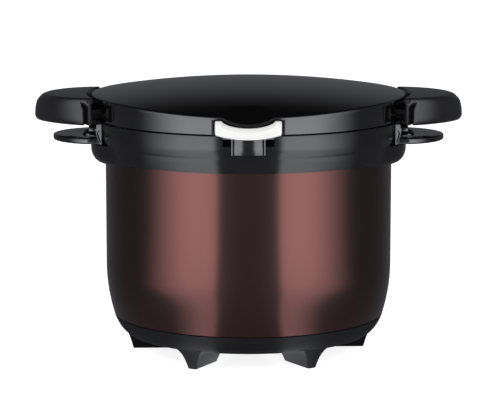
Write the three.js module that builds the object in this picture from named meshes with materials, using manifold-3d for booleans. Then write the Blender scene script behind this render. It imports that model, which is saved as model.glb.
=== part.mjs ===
// A thermal cooker: a vacuum-walled steel vessel on a ribbed base, with a black collar, two carry handles and a
// domed lid on a rear hinge with a front latch. It holds a steel cooking pot, whose two big handles reach out
// between the collar and the lid, under a glass lid of its own.
// Millimetres, +Z up. The front faces -Y. The origin is on the floor, under the vessel's axis.

import * as THREE from 'three';
import { mergeVertices } from 'three/addons/utils/BufferGeometryUtils.js';
import Module from 'manifold-3d';

const wasm = await Module();
wasm.setup();

// Fits shared by the whole part
const SEAT = 0.3; // between two pieces that rest on or beside each other
const PIN_PLAY = 0.3; // radial play of a pin or screw in its hole
const OVERRUN = 3; // how far a cutter runs past what it cuts
const ROUND_STEPS = 36; // sides of a large round piece
const SMALL_STEPS = 8; // sides of a pin, screw or boss
const CURVE_STEPS = 3; // segments of a corner or a shallow curve

// Base cover and its feet
const FOOT_H = 10.2;
const FOOT_COUNT = 6;
const FOOT_TURN_DEG = 2; // the screwed-on base sits turned a little
const FOOT_TIP_W = 7.6;
const FOOT_ROOT_W = 18;
const FOOT_INNER_R = 58;
const FOOT_TIP_INSET = 3.7; // the foot's tip stands this far inside the sole's edge
const FOOT_ROOT_INSET = 1;
const FOOT_TIP_CUT = 5; // the inner end leans in by this much
const SOLE_BEVEL_H = 6.3;
const SOLE_BEVEL_W = 6.3;
const BASE_BAND_H = 15.5;
const BASE_WALL = 2.2;
const BASE_FLOOR = 2.5;
const BASE_BOSS_R = 7.5;
const BASE_SCREW_COUNT = 3;
const BASE_SCREW_RING_R = 72;
const BASE_SCREW_SINK = 5.5; // how deep the head sits above the sole
const BASE_SPACE = 11.5; // hollow between the base's floor and the steel

// Vacuum vessel
const BODY_R = 120.7;
const BODY_H = 134.8; // visible steel wall
const WALL_CURVE_R = 145;
const WALL_CURVE_H = 43; // where the wall's curve starts, above the base
const STEEL_WALL = 1;
const STEP_PLAY = 1.2; // extra room where the shell enters the base
const SHELL_CORNER_R = 8;
const SHOULDER_R = 8;
const VACUUM_GAP = 8.5;
const FLOOR_VACUUM = 13.8;
const INNER_CORNER_R = 24;
const MOUTH_DROP = 13.8; // the steel mouth lies this far below the collar's top
const EVACUATION_CAP_R = 9;
const EVACUATION_CAP_T = 1.2;
const MOUNT_RING_W = 16; // it runs over the base screws
const MOUNT_RING_T = 3;

// Collar
const COLLAR_FOOT_WALL = 1.2;
const COLLAR_TAPER_H = 20.2;
const COLLAR_BAND_H = 10.8;
const COLLAR_OVERHANG = 7.3; // the collar's band stands this far outside the steel
const CHIN_DROP = 5.5; // the collar's foot hangs lower under the handles
const CHIN_DROP_SPREAD_DEG = 55;
const CHIN_BULGE = 4.8; // beyond the band
const CHIN_FLAT_DEG = 10;
const CHIN_SPREAD_DEG = 30;
const CHIN_ROUND_H = 7.3; // height over which the chin's round runs
const CHIN_TOP_H = 12.6; // the chin's top ledge, above the collar's foot
const LEDGE_SLOPE_H = 0.2;
const POCKET_HALF_W = 20.5;
const POCKET_D = 7.6;
const POCKET_H = 8.4; // below the collar's top
const STRIKER_HALF_W = 23;
const STRIKER_NOSE_HALF_W = 14;
const STRIKER_T = 2.4;
const STRIKER_BAR_D = 3.4;
const STRIKER_INSET = 3.6; // bar's front, inside the collar's band
const STRIKER_NOSE = 2.6;
const STRIKER_TOP_DROP = 0.6;

// Carry handles on the collar
const CARRY_HALF_W = 40;
const CARRY_REACH = 36.7; // plate, beyond the collar's band
const CARRY_POWER = 1.9; // exponent of the plan's superellipse
const CARRY_PLATE_T = 5;
const CARRY_FLANGE_T = 2.6;
const CARRY_FLANGE_H = 16;
const CARRY_SLOT_GAP = 0.5; // between the flange and the slot
const CARRY_SLOT_W = 8.2;
const CARRY_SLOT_END = 7.2; // the slot's end, inside the plate's root
const CARRY_SCREW_Y = 24;
const CARRY_SCREW_Z = 10.8; // above the plate's underside
const CARRY_SCREW_LEN = 15;

// Lid
const LID_SEAM = 0.5;
const LID_OVERHANG = 3.8; // rim, beyond the collar's band
const LID_RIM_H = 20.7; // rim's top edge, above the seam
const DOME_RISE = 11;
const FRONT_DIP = 6.5; // the rim dips at the front
const COVER_T = 2.5;
const LIP_SIDE_T = 4;
const LIP_FRONT_T = 2;
const LIP_ROUND = 1.2;
const SCOOP_HALF_W = 19.4;
const SCOOP_DEPTH = 5;
const SCOOP_LENGTH = 26;
const SKIRT_SETBACK = 0.7; // skirt's face, inside the collar's band
const SKIRT_T = 2.8;
const FLANGE_W = 17.5;
const FLANGE_T = 2;
const CURTAIN_T = 2; // inner wall that hangs from the flange
const CURTAIN_H = 6.8;
const RECESS_SIDE_GAP = 9; // beside the pot handle's neck
const RECESS_TOP_GAP = 1.8; // over the neck
const NOTCH_SIDE_GAP = 2; // beside the latch's lever
const LATCH_WALL_T = 2;
const LATCH_WALL_INSET = 8.7; // back wall's front face, inside the band
const LATCH_EAR_GAP = 0.8; // beside the hook
const LATCH_EAR_T = 3;
const LATCH_EAR_R = 2.8;
const CEILING_RISE = 10.8;
const CEILING_H = 10.2; // plate's rim, above the seam
const PLATE_T = 1.5;
const PLATE_RIM_W = 12;
const FOAM_EDGE_GAP = 3;
const LID_SCREW_COUNT = 4;
const LID_BOSS_R = 4;
const LID_BOSS_INSET = 5; // screw, inside the plate's edge
const LID_SCREW_BITE = 4.5;

// Hinge at the back
const HINGE_SETBACK = 3; // pin's axis, behind the collar's band
const HINGE_H = 4.7; // pin's axis, above the seam
const HINGE_BARREL_R = 4.2;
const HINGE_PIN_R = 2;
const KNUCKLE_HALF_W = 18;
const HINGE_SIDE_GAP = 0.6;
const EAR_T = 7.4;
const EAR_FOOT_H = 12; // how far the ears run down the collar
const HINGE_ARM_H = 7;
const PIN_OVERHANG = 1;

// Latch at the front
const LATCH_HALF_W = 26;
const LATCH_REACH = 7.2; // lever's face, beyond the collar's band
const LATCH_D = 8.7;
const LATCH_TOP_H = 11.7; // lever's shoulders, above the seam
const LATCH_SCOOP_GAP = 1.2;
const LATCH_BEVEL_H = 3.2;
const LATCH_BEVEL_D = 5.5;
const LATCH_HANG = 2.8; // lever's lower edge, below the seam
const LATCH_SMILE = 3.6; // the lower edge is this much higher at its ends
const LATCH_COLLAR_GAP = 1.1;
const LATCH_PIVOT_SETBACK = 0.5; // pivot, beyond the collar's band
const LATCH_PIVOT_H = 2.6; // above the seam
const LATCH_PIN_R = 1.25;
const LATCH_PIN_HALF_L = 21.5;
const SPRING_HALF_L = 4.5;
const SPRING_END_GAP = 3; // between the spring and its window's end
const SPRING_PLAY = 0.5; // between the coil and the pin
const SPRING_WIRE_R = 0.4;
const SPRING_TURNS = 6;
const SPRING_SIDES = 4;
const SPRING_TURN_STEPS = 6;
const HOOK_HALF_W = 13.4;
const HOOK_REACH = 5.6; // hook's face, beyond the collar's band
const HOOK_T = 4;
const HOOK_TOP_DROP = 0.3; // below the seam
const HOOK_DROP = 15.3; // below the seam
const HOOK_LIP_HALF_W = 12.5;
const HOOK_LIP_TOP = 4; // below the seam
const HOOK_LIP_T = 3;
const HOOK_CATCH = 1.3; // how far the lip reaches under the striker's nose

// Cooking pot
const POT_SIDE_GAP = 3.7; // between the pot's rim and the inner shell
const POT_WALL = 1.5;
const POT_STEP = 3.5; // the wall widens by this for the glass lid's seat
const POT_STEP_H = 2;
const POT_SEAT_DROP = 7; // the seat, below the pot's rim
const POT_RIM_H = 5.2; // pot's rim, above the collar's top
const POT_CORNER_R = 22;
const POT_DISC_INSET = 17.5; // disc's edge, inside the pot's wall
const POT_DISC_T = 4;
const BRACKET_T = 2;
const BRACKET_HALF_W = 20;
const BRACKET_PAD_H = 8;
const BRACKET_LEG_H = 19; // from the tongue's underside down to the foot
const BRACKET_REACH = 23; // tongue, beyond the collar's band
const BRACKET_LIFT = 1.2; // tongue, above the collar's top

// Pot handles
const GRIP_HALF_W = 49;
const GRIP_TIP = 52; // tip, beyond the collar's band
const GRIP_ROOT = 10; // grip's inner wall, beyond the collar's band
const GRIP_FOOT_DROP = 0.8; // grip's underside, below the seam
const GRIP_H = 21;
const GRIP_TOP_T = 4.3;
const GRIP_WALL = 4.5;
const GRIP_LID_GAP = 3.7; // top plate's inner edge to the lid's rim
const GRIP_OUTLINE_STEPS = 14;
const GRIP_ARC_STEPS = 6;
const GRIP_END_DEG = 84; // where the outline's sweep stops, short of a sharp corner
const HOLLOW_END_DEG = 56;
const BACK_PLATE_T = 2.5;
const BACK_PLATE_GAP = 3; // beyond the collar's band
const NECK_HALF_W = 41;
const NECK_INSET = 1.5; // neck's inner end, inside the collar's band
const NECK_TOP_DROP = 2; // neck's top, below the lid's lip
const GRIP_SCREW_X = 18; // screws, beyond the collar's band
const GRIP_SCREW_Y = 12;
const GRIP_BOSS_HALF_W = 22;
const GRIP_SCREW_BITE = 9;

// Glass lid
const BAND_SIDE_GAP = 0.7;
const BAND_H = 4;
const BAND_W = 4;
const BAND_T = 0.8;
const GLASS_T = 2;
const GLASS_RISE = 5;
const KNOB_R = 17;
const KNOB_STEM_R = 9;
const KNOB_H = 8;
const KNOB_HEAD_H = 4;
const KNOB_WASHER_R = 10;
const KNOB_WASHER_T = 0.8;
const KNOB_SCREW_LEN = 7;
const VENT_X = 60;
const VENT_R = 2;
const VENT_WALL = 0.8;
const VENT_FLANGE = 1.2;
const VENT_FLANGE_T = 0.6;

// Screws: one size for plastic bosses and one for the steel parts
const SCREW_R = 1.6;
const SCREW_HEAD_R = 3.4;
const SCREW_HEAD_H = 2;
const BIG_SCREW_R = 2;
const BIG_SCREW_HEAD_R = 4;
const BIG_SCREW_HEAD_H = 2.4;

// Heights, from the floor up
const SOLE_Z = FOOT_H;
const BASE_EDGE_Z = SOLE_Z + SOLE_BEVEL_H;
const BASE_TOP_Z = BASE_EDGE_Z + BASE_BAND_H;
const BASE_FLOOR_Z = SOLE_Z + BASE_FLOOR;
const SHELL_FLOOR_Z = BASE_FLOOR_Z + BASE_SPACE;
const WALL_CURVE_Z = BASE_TOP_Z + WALL_CURVE_H;
const COLLAR_FOOT_Z = BASE_TOP_Z + BODY_H;
const BAND_Z = COLLAR_FOOT_Z + COLLAR_TAPER_H;
const COLLAR_TOP_Z = BAND_Z + COLLAR_BAND_H;
const MOUTH_Z = COLLAR_TOP_Z - MOUTH_DROP;
const SEAM_Z = COLLAR_TOP_Z + LID_SEAM;
const INNER_FLOOR_Z = SHELL_FLOOR_Z + STEEL_WALL + FLOOR_VACUUM;
const CHIN_TOP_Z = COLLAR_FOOT_Z + CHIN_TOP_H;
const LID_RIM_Z = SEAM_Z + LID_RIM_H;
const NECK_TOP_Z = LID_RIM_Z - LIP_SIDE_T - NECK_TOP_DROP;
const PLATE_Z = SEAM_Z + CEILING_H;
const FLANGE_Z = PLATE_Z + PLATE_T + SEAT;

// Radii, from the steel body in and out
const BAND_R = BODY_R + COLLAR_OVERHANG;
const LID_R = BAND_R + LID_OVERHANG;
const SKIRT_R = BAND_R - SKIRT_SETBACK;
const SKIRT_IN_R = SKIRT_R - SKIRT_T;
const INNER_SHELL_R = BODY_R - STEEL_WALL - VACUUM_GAP;
const INNER_R = INNER_SHELL_R - STEEL_WALL;
const COLLAR_FOOT_R = BODY_R + SEAT + COLLAR_FOOT_WALL;
const PLATE_R = BAND_R - LATCH_WALL_INSET - CURTAIN_T - SEAT;
const CEILING_R = PLATE_R - PLATE_RIM_W;
const POT_R = INNER_R - POT_SIDE_GAP - POT_WALL - POT_STEP; // inside
const SPRING_COIL_R = LATCH_PIN_R + SPRING_PLAY + SPRING_WIRE_R;

// Half widths across the front and the sides
const NOTCH_HALF_W = LATCH_HALF_W + NOTCH_SIDE_GAP;
const LATCH_EAR_X = HOOK_HALF_W + LATCH_EAR_GAP;
const SPRING_WINDOW_HALF_W = SPRING_HALF_L + SPRING_END_GAP;
const HANDLE_RECESS_HALF_W = NECK_HALF_W + RECESS_SIDE_GAP;

const rad = THREE.MathUtils.degToRad;
const FULL_DEG = 360;
const QUARTER_TURN = Math.PI / 2;
const smooth = (t) => THREE.MathUtils.smoothstep(t, 0, 1);

// Radius of the vessel's wall at a height: upright, with an arc that draws it in towards the base
function wallRadius(z) {
  const below = Math.max(0, WALL_CURVE_Z - z);
  return BODY_R - (WALL_CURVE_R - Math.sqrt(WALL_CURVE_R ** 2 - below ** 2));
}

// Points of an arc in a profile, from one angle to another, in degrees
function arc(cx, cy, radius, fromDeg, toDeg, steps = CURVE_STEPS) {
  const points = [];
  for (let i = 0; i <= steps; i++) {
    const angle = rad(fromDeg + ((toDeg - fromDeg) * i) / steps);
    points.push([cx + radius * Math.cos(angle), cy + radius * Math.sin(angle)]);
  }
  return points;
}

// Values from one end of a range to the other
function spread(from, to, steps) {
  return Array.from({ length: steps + 1 }, (_, i) => from + ((to - from) * i) / steps);
}

// The same open path, moved sideways by a distance: to its right where the distance is positive
function offsetPath(points, distance) {
  const normals = points.slice(1).map(([x, y], i) => {
    const [x0, y0] = points[i];
    const length = Math.hypot(x - x0, y - y0);
    return [(y - y0) / length, (x0 - x) / length];
  });
  return points.map(([x, y], i) => {
    const a = normals[Math.max(0, i - 1)];
    const b = normals[Math.min(normals.length - 1, i)];
    const scale = distance / (1 + a[0] * b[0] + a[1] * b[1]);
    return [x + (a[0] + b[0]) * scale, y + (a[1] + b[1]) * scale];
  });
}

// Closed triangle mesh to a solid that can be joined and cut, faces turned outwards
function toSolid(geometry) {
  geometry.deleteAttribute('normal');
  geometry.deleteAttribute('uv');
  const merged = mergeVertices(geometry);
  const places = merged.attributes.position;
  const corners = merged.index.array;
  const [a, b, c] = [new THREE.Vector3(), new THREE.Vector3(), new THREE.Vector3()];
  const faces = [];
  let volume = 0;
  for (let i = 0; i < corners.length; i += 3) {
    const [p, q, r] = [corners[i], corners[i + 1], corners[i + 2]];
    if (p === q || q === r || r === p) continue;
    faces.push([p, q, r]);
    a.fromBufferAttribute(places, p);
    b.fromBufferAttribute(places, q);
    c.fromBufferAttribute(places, r);
    volume += a.dot(b.cross(c));
  }
  const outwards = volume > 0 ? faces : faces.map(([p, q, r]) => [p, r, q]);
  return new wasm.Manifold(new wasm.Mesh({
    numProp: 3,
    vertProperties: new Float32Array(places.array),
    triVerts: new Uint32Array(outwards.flat()),
  }));
}

// Solid back to a geometry
function toGeometry(solid) {
  const mesh = solid.getMesh();
  const geometry = new THREE.BufferGeometry();
  geometry.setAttribute('position', new THREE.BufferAttribute(mesh.vertProperties, 3));
  geometry.setIndex(new THREE.BufferAttribute(mesh.triVerts, 1));
  geometry.computeVertexNormals();
  return geometry;
}

const join = (first, ...others) => others.reduce((sum, other) => sum.add(other), first);
const cut = (first, ...others) => others.reduce((rest, other) => rest.subtract(other), first);

// Turned piece about the vertical axis, from a profile of [radius, height] points
function turned(profile, steps = ROUND_STEPS) {
  const points = profile.map(([r, z]) => new THREE.Vector2(r, z));
  if (points[0].x !== 0) points.push(points[0].clone());
  return toSolid(new THREE.LatheGeometry(points, steps).rotateX(QUARTER_TURN));
}

// Tube-like turned piece: a flat ring of rectangular section
function ring(innerR, outerR, z0, z1, steps = ROUND_STEPS) {
  return turned([[innerR, z0], [outerR, z0], [outerR, z1], [innerR, z1]], steps);
}

// Round rod along X, Y or Z between two places on that axis
function rod(axis, radius, from, to, [x, y, z] = [0, 0, 0], steps = SMALL_STEPS) {
  const geometry = new THREE.CylinderGeometry(radius, radius, to - from, steps);
  geometry.translate(0, (from + to) / 2, 0);
  if (axis === 'x') geometry.rotateZ(-QUARTER_TURN);
  if (axis === 'z') geometry.rotateX(QUARTER_TURN);
  return toSolid(geometry.translate(x, y, z));
}

// Block between two corners
function block([x0, y0, z0], [x1, y1, z1]) {
  const geometry = new THREE.BoxGeometry(x1 - x0, y1 - y0, z1 - z0);
  return toSolid(geometry.translate((x0 + x1) / 2, (y0 + y1) / 2, (z0 + z1) / 2));
}

// Slab with a plan outline
function slab(outline, z0, z1) {
  const shape = new THREE.Shape(outline.map(([x, y]) => new THREE.Vector2(x, y)));
  const geometry = new THREE.ExtrudeGeometry(shape, { depth: z1 - z0, bevelEnabled: false });
  return toSolid(geometry.translate(0, 0, z0));
}

// Skin over rings of points. It closes on itself, or a fan closes each end, from a tip or the ring's middle.
function skin(rings, closed = false, tips = []) {
  const size = rings[0].length;
  const places = rings.flat(2);
  const faces = [];
  const bands = closed ? rings.length : rings.length - 1;
  for (let i = 0; i < bands; i++) {
    const next = (i + 1) % rings.length;
    for (let j = 0; j < size; j++) {
      const k = (j + 1) % size;
      faces.push(i * size + j, next * size + j, next * size + k);
      faces.push(i * size + j, next * size + k, i * size + k);
    }
  }
  if (!closed) {
    for (const [end, flip, tip] of [[0, false, tips[0]], [rings.length - 1, true, tips[1]]]) {
      const middle = places.length / 3;
      const mean = [0, 1, 2].map((n) => rings[end].reduce((sum, point) => sum + point[n], 0) / size);
      places.push(...(tip ?? mean));
      for (let j = 0; j < size; j++) {
        const [a, b] = [end * size + j, end * size + ((j + 1) % size)];
        faces.push(middle, flip ? b : a, flip ? a : b);
      }
    }
  }
  const geometry = new THREE.BufferGeometry();
  geometry.setAttribute('position', new THREE.Float32BufferAttribute(places, 3));
  geometry.setIndex(faces);
  return toSolid(geometry);
}

// Screw standing on its head's seat, pointing up; the origin is under the head's flat side
function screw(shankR, headR, headH, length) {
  const stem = rod('z', shankR, -headH / 2, length);
  const head = rod('z', headR, -headH, 0);
  return join(stem, head);
}
const smallScrew = (length) => screw(SCREW_R, SCREW_HEAD_R, SCREW_HEAD_H, length);
const bigScrew = (length) => screw(BIG_SCREW_R, BIG_SCREW_HEAD_R, BIG_SCREW_HEAD_H, length);

const DEG_PER_RAD = 180 / Math.PI;
const turnZ = (solid, angle) => solid.rotate([0, 0, angle * DEG_PER_RAD]);

// Plan outline of a handle, from one root round the tip to the other
function handleOutline(reach, halfWidth, power, endDeg, steps = GRIP_OUTLINE_STEPS) {
  return spread(-endDeg, endDeg, steps).map((deg) => {
    const [c, s] = [Math.cos(rad(deg)), Math.sin(rad(deg))];
    const x = BAND_R + reach * Math.abs(c) ** (2 / power);
    return [x, halfWidth * Math.sign(s) * Math.abs(s) ** (2 / power)];
  });
}

// Arc in plan about the vessel's axis, from +Y to -Y, on the +X side
function concaveEdge(radius, halfWidth, steps = GRIP_ARC_STEPS) {
  return spread(halfWidth, -halfWidth, steps).map((y) => [Math.sqrt(radius ** 2 - y ** 2), y]);
}

const group = new THREE.Group();
const mirrored = (solid) => solid.mirror([1, 0, 0]);

function add(name, solid, finish) {
  const mesh = new THREE.Mesh(toGeometry(solid), new THREE.MeshStandardMaterial(finish));
  mesh.name = name;
  group.add(mesh);
}

const BROWN_STEEL = { color: 0x5a2f26, roughness: 0.3, metalness: 0.9 };
const STEEL = { color: 0xb9babb, roughness: 0.3, metalness: 1 };
const GLOSS_BLACK = { color: 0x0c0c0d, roughness: 0.12, metalness: 0 };
const SATIN_BLACK = { color: 0x151516, roughness: 0.4, metalness: 0 };
const WHITE_PLASTIC = { color: 0xeeeeec, roughness: 0.35, metalness: 0 };
const GREY_PLASTIC = { color: 0x56585b, roughness: 0.5, metalness: 0 };
const FOAM = { color: 0xe9e4d6, roughness: 0.95, metalness: 0 };
const GLASS = { color: 0xdfe8e6, roughness: 0.03, metalness: 0, transparent: true, opacity: 0.35 };

// Base cover: a shallow plastic tray with six radial feet and three screw bosses
const baseScrewAngles = spread(0, 2 * Math.PI, BASE_SCREW_COUNT).slice(0, BASE_SCREW_COUNT);
const ringTop = SHELL_FLOOR_Z - SEAT;
const ringFloor = ringTop - MOUNT_RING_T;
const baseHeadZ = SOLE_Z + BASE_SCREW_SINK;
const onBase = (solid, angle) => turnZ(solid.translate([0, -BASE_SCREW_RING_R, 0]), angle);

function footSolid() {
  const edgeR = wallRadius(BASE_EDGE_Z) - SOLE_BEVEL_W;
  const section = (z, inner, outer, width) => [
    [-width / 2, -inner, z], [width / 2, -inner, z], [width / 2, -outer, z], [-width / 2, -outer, z],
  ];
  return skin([
    section(0, FOOT_INNER_R + FOOT_TIP_CUT, edgeR - FOOT_TIP_INSET, FOOT_TIP_W),
    section(SOLE_Z, FOOT_INNER_R, edgeR - FOOT_ROOT_INSET, FOOT_ROOT_W),
    section(SOLE_Z + BASE_FLOOR / 2, FOOT_INNER_R, edgeR - FOOT_ROOT_INSET, FOOT_ROOT_W),
  ]);
}

function baseCover() {
  const edgeR = wallRadius(BASE_EDGE_Z);
  const bevel = spread(0, FULL_DEG / 4, CURVE_STEPS).map((deg) => [
    edgeR - SOLE_BEVEL_W * (1 - Math.sin(rad(deg))),
    SOLE_Z + SOLE_BEVEL_H * (1 - Math.cos(rad(deg))),
  ]);
  const wall = spread(BASE_EDGE_Z, BASE_TOP_Z, 2).slice(1).map((z) => [wallRadius(z), z]);
  const lining = spread(BASE_TOP_Z, BASE_EDGE_Z, 2).map((z) => [wallRadius(z) - BASE_WALL, z]);
  const tray = turned([
    [0, SOLE_Z], ...bevel, ...wall, ...lining, [edgeR - SOLE_BEVEL_W, BASE_FLOOR_Z], [0, BASE_FLOOR_Z],
  ]);
  const feet = spread(0, FULL_DEG, FOOT_COUNT).slice(0, FOOT_COUNT)
    .map((deg) => footSolid().rotate([0, 0, deg + FULL_DEG / FOOT_COUNT / 2]));
  const bosses = baseScrewAngles.map((angle) => onBase(
    rod('z', BASE_BOSS_R, BASE_FLOOR_Z - BASE_FLOOR / 2, ringFloor - SEAT), angle));
  const holes = baseScrewAngles.flatMap((angle) => [
    onBase(rod('z', BIG_SCREW_R + PIN_PLAY, SOLE_Z - OVERRUN, ringTop), angle),
    onBase(rod('z', BIG_SCREW_HEAD_R + PIN_PLAY, SOLE_Z - OVERRUN, baseHeadZ), angle),
  ]);
  return cut(join(tray, ...feet, ...bosses), ...holes);
}
const turnedBase = (solid) => solid.rotate([0, 0, FOOT_TURN_DEG]);
add('base_cover', turnedBase(baseCover()), SATIN_BLACK);
baseScrewAngles.forEach((angle, i) => {
  const part = bigScrew(ringTop - baseHeadZ - SEAT).translate([0, 0, baseHeadZ - SEAT]);
  add(`base_screw_${i + 1}`, turnedBase(onBase(part, angle)), STEEL);
});
const ringHoles = baseScrewAngles.map((angle) => onBase(
  rod('z', BIG_SCREW_R + PIN_PLAY, ringFloor - OVERRUN, ringTop + OVERRUN), angle));
const mountRing = cut(ring(BASE_SCREW_RING_R - MOUNT_RING_W / 2, BASE_SCREW_RING_R + MOUNT_RING_W / 2,
  ringFloor, ringTop), ...ringHoles);
add('base_mount_ring', turnedBase(mountRing), STEEL);

// Vacuum vessel: an outer and an inner steel shell that meet at the mouth
function outerShell() {
  const inset = BASE_WALL + SEAT + STEP_PLAY;
  const cornerZ = SHELL_FLOOR_Z + SHELL_CORNER_R;
  const cornerR = wallRadius(cornerZ) - inset;
  const neckR = INNER_SHELL_R + SEAT + STEEL_WALL;
  const shoulderW = BODY_R - neckR;
  const outside = [
    [0, SHELL_FLOOR_Z],
    ...arc(cornerR - SHELL_CORNER_R, cornerZ, SHELL_CORNER_R, -FULL_DEG / 4, 0),
    [wallRadius(BASE_TOP_Z + SEAT), BASE_TOP_Z + SEAT],
    ...spread(BASE_TOP_Z, WALL_CURVE_Z, CURVE_STEPS + 1).slice(1).map((z) => [wallRadius(z), z]),
    ...spread(0, FULL_DEG / 4, CURVE_STEPS).map((deg) => [
      neckR + shoulderW * Math.cos(rad(deg)),
      MOUTH_Z - SHOULDER_R * (1 - Math.sin(rad(deg))),
    ]),
  ];
  const inside = offsetPath(outside, -STEEL_WALL);
  inside[0] = [0, SHELL_FLOOR_Z + STEEL_WALL];
  inside[inside.length - 1] = [neckR - STEEL_WALL, MOUTH_Z - STEEL_WALL];
  const lip = [neckR - STEEL_WALL, MOUTH_Z];
  return turned([...outside, lip, ...inside.reverse()]);
}
add('vessel_outer_shell', outerShell(), BROWN_STEEL);

// Cup with a rounded bottom corner, of one wall thickness, open at the top
function cup(radius, floorZ, cornerR, wall, rim) {
  const inside = [
    [0, floorZ + wall],
    ...arc(radius - cornerR, floorZ + wall + cornerR, cornerR, -FULL_DEG / 4, 0),
    ...rim,
  ];
  const outside = offsetPath(inside, wall);
  outside[0] = [0, floorZ];
  outside[outside.length - 1][1] = inside[inside.length - 1][1];
  return turned([...outside, ...inside.reverse()]);
}
const innerCup = cup(INNER_R, INNER_FLOOR_Z, INNER_CORNER_R, STEEL_WALL, [[INNER_R, MOUTH_Z]]);
add('vessel_inner_shell', innerCup, STEEL);
add('evacuation_cap', rod('z', EVACUATION_CAP_R, SHELL_FLOOR_Z - SEAT - EVACUATION_CAP_T, SHELL_FLOOR_Z - SEAT,
  [0, 0, 0], ROUND_STEPS / 2), STEEL);

// Collar: a plastic ring over the steel shoulder. Under each carry handle it hangs lower and swells to a chin.
const sideDeg = (deg) => Math.min(Math.abs(deg), Math.abs(Math.abs(deg) - FULL_DEG / 2));
function collarSection(deg) {
  const drop = CHIN_DROP * (1 - smooth(sideDeg(deg) / CHIN_DROP_SPREAD_DEG));
  const chin = 1 - smooth((sideDeg(deg) - CHIN_FLAT_DEG) / (CHIN_SPREAD_DEG - CHIN_FLAT_DEG));
  const footZ = COLLAR_FOOT_Z - drop;
  const taperR = (z) => THREE.MathUtils.mapLinear(z, footZ, BAND_Z, COLLAR_FOOT_R, BAND_R);
  const chinR = BAND_R + CHIN_BULGE;
  const face = spread(0, FULL_DEG / 4, CURVE_STEPS).map((d) => {
    const z = footZ + (CHIN_ROUND_H + drop) * (1 - Math.cos(rad(d)));
    const round = COLLAR_FOOT_R + (chinR - COLLAR_FOOT_R) * Math.sin(rad(d));
    return [THREE.MathUtils.lerp(taperR(z), round, chin), z];
  });
  const ledgeR = THREE.MathUtils.lerp(taperR(CHIN_TOP_Z - LEDGE_SLOPE_H), chinR, chin);
  const neckR = INNER_SHELL_R + 2 * SEAT + STEEL_WALL;
  const shoulderW = BODY_R + SEAT - neckR;
  const shoulder = spread(FULL_DEG / 4, 0, CURVE_STEPS).map((d) => [
    neckR + shoulderW * Math.cos(rad(d)),
    MOUTH_Z + SEAT - SHOULDER_R * (1 - Math.sin(rad(d))),
  ]);
  return [
    ...face, [ledgeR, CHIN_TOP_Z - LEDGE_SLOPE_H], [taperR(CHIN_TOP_Z), CHIN_TOP_Z],
    [BAND_R, BAND_Z], [BAND_R, COLLAR_TOP_Z], [INNER_R, COLLAR_TOP_Z], [INNER_R, MOUTH_Z + SEAT],
    ...shoulder, [BODY_R + SEAT, footZ],
  ];
}

const hinge = { y: BAND_R + HINGE_SETBACK, z: SEAM_Z + HINGE_H };
const earInX = KNUCKLE_HALF_W + HINGE_SIDE_GAP;
const earOutX = earInX + EAR_T;

function hingeEar() {
  const back = hinge.y + HINGE_BARREL_R;
  const front = hinge.y - HINGE_BARREL_R;
  const rootY = INNER_SHELL_R + COLLAR_OVERHANG;
  const outline = [
    [front, hinge.z], [front, COLLAR_TOP_Z], [front, COLLAR_TOP_Z - SEAT], [rootY, COLLAR_TOP_Z - SEAT],
    [rootY, COLLAR_TOP_Z - EAR_FOOT_H], [BAND_R, COLLAR_TOP_Z - EAR_FOOT_H],
    [back, COLLAR_TOP_Z - HINGE_SETBACK],
    [back, hinge.z],
  ];
  const web = skin([earInX, earOutX].map((x) => outline.map(([y, z]) => [x, y, z])));
  return join(web, rod('x', HINGE_BARREL_R, earInX, earOutX, [0, hinge.y, hinge.z], ROUND_STEPS / 2));
}

const strikerBackY = -(BAND_R - STRIKER_INSET - STRIKER_BAR_D);
const strikerFrontY = -(BAND_R - STRIKER_INSET);
const strikerTopZ = COLLAR_TOP_Z - STRIKER_TOP_DROP;
function striker(gap = 0) {
  const z0 = strikerTopZ - STRIKER_T - gap;
  const z1 = strikerTopZ + gap;
  const halfW = STRIKER_HALF_W + gap;
  const bar = block([-halfW, strikerFrontY - gap, z0], [halfW, strikerBackY + gap, z1]);
  const nose = block([-STRIKER_NOSE_HALF_W - gap, strikerFrontY - STRIKER_NOSE - gap, z0],
    [STRIKER_NOSE_HALF_W + gap, strikerBackY, z1]);
  return join(bar, nose);
}

function collar() {
  const sections = spread(0, FULL_DEG, ROUND_STEPS).slice(0, ROUND_STEPS).map((deg) => {
    const [c, s] = [Math.cos(rad(deg)), Math.sin(rad(deg))];
    return collarSection(deg > FULL_DEG / 2 ? deg - FULL_DEG : deg).map(([r, z]) => [r * c, r * s, z]);
  });
  const pocket = cut(
    block([-POCKET_HALF_W, -BAND_R - OVERRUN, COLLAR_TOP_Z - POCKET_H],
      [POCKET_HALF_W, 0, COLLAR_TOP_Z + OVERRUN]),
    turned([[0, 0], [BAND_R - POCKET_D, 0], [BAND_R - POCKET_D, LID_RIM_Z], [0, LID_RIM_Z]]));
  const slot = join(striker(SEAT), striker(SEAT).translate([0, 0, STRIKER_TOP_DROP]));
  const ears = join(hingeEar(), mirrored(hingeEar()));
  const pinReach = earOutX + OVERRUN;
  const pinHole = rod('x', HINGE_PIN_R + PIN_PLAY, -pinReach, pinReach, [0, hinge.y, hinge.z]);
  const screwHoles = atCarryScrews(rod('x', SCREW_R + PIN_PLAY, carryTipR - SEAT, BAND_R + OVERRUN))
    .flatMap((hole) => [hole, mirrored(hole)]);
  return cut(join(skin(sections, true), ears), pocket, slot, pinHole, ...screwHoles);
}

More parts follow.
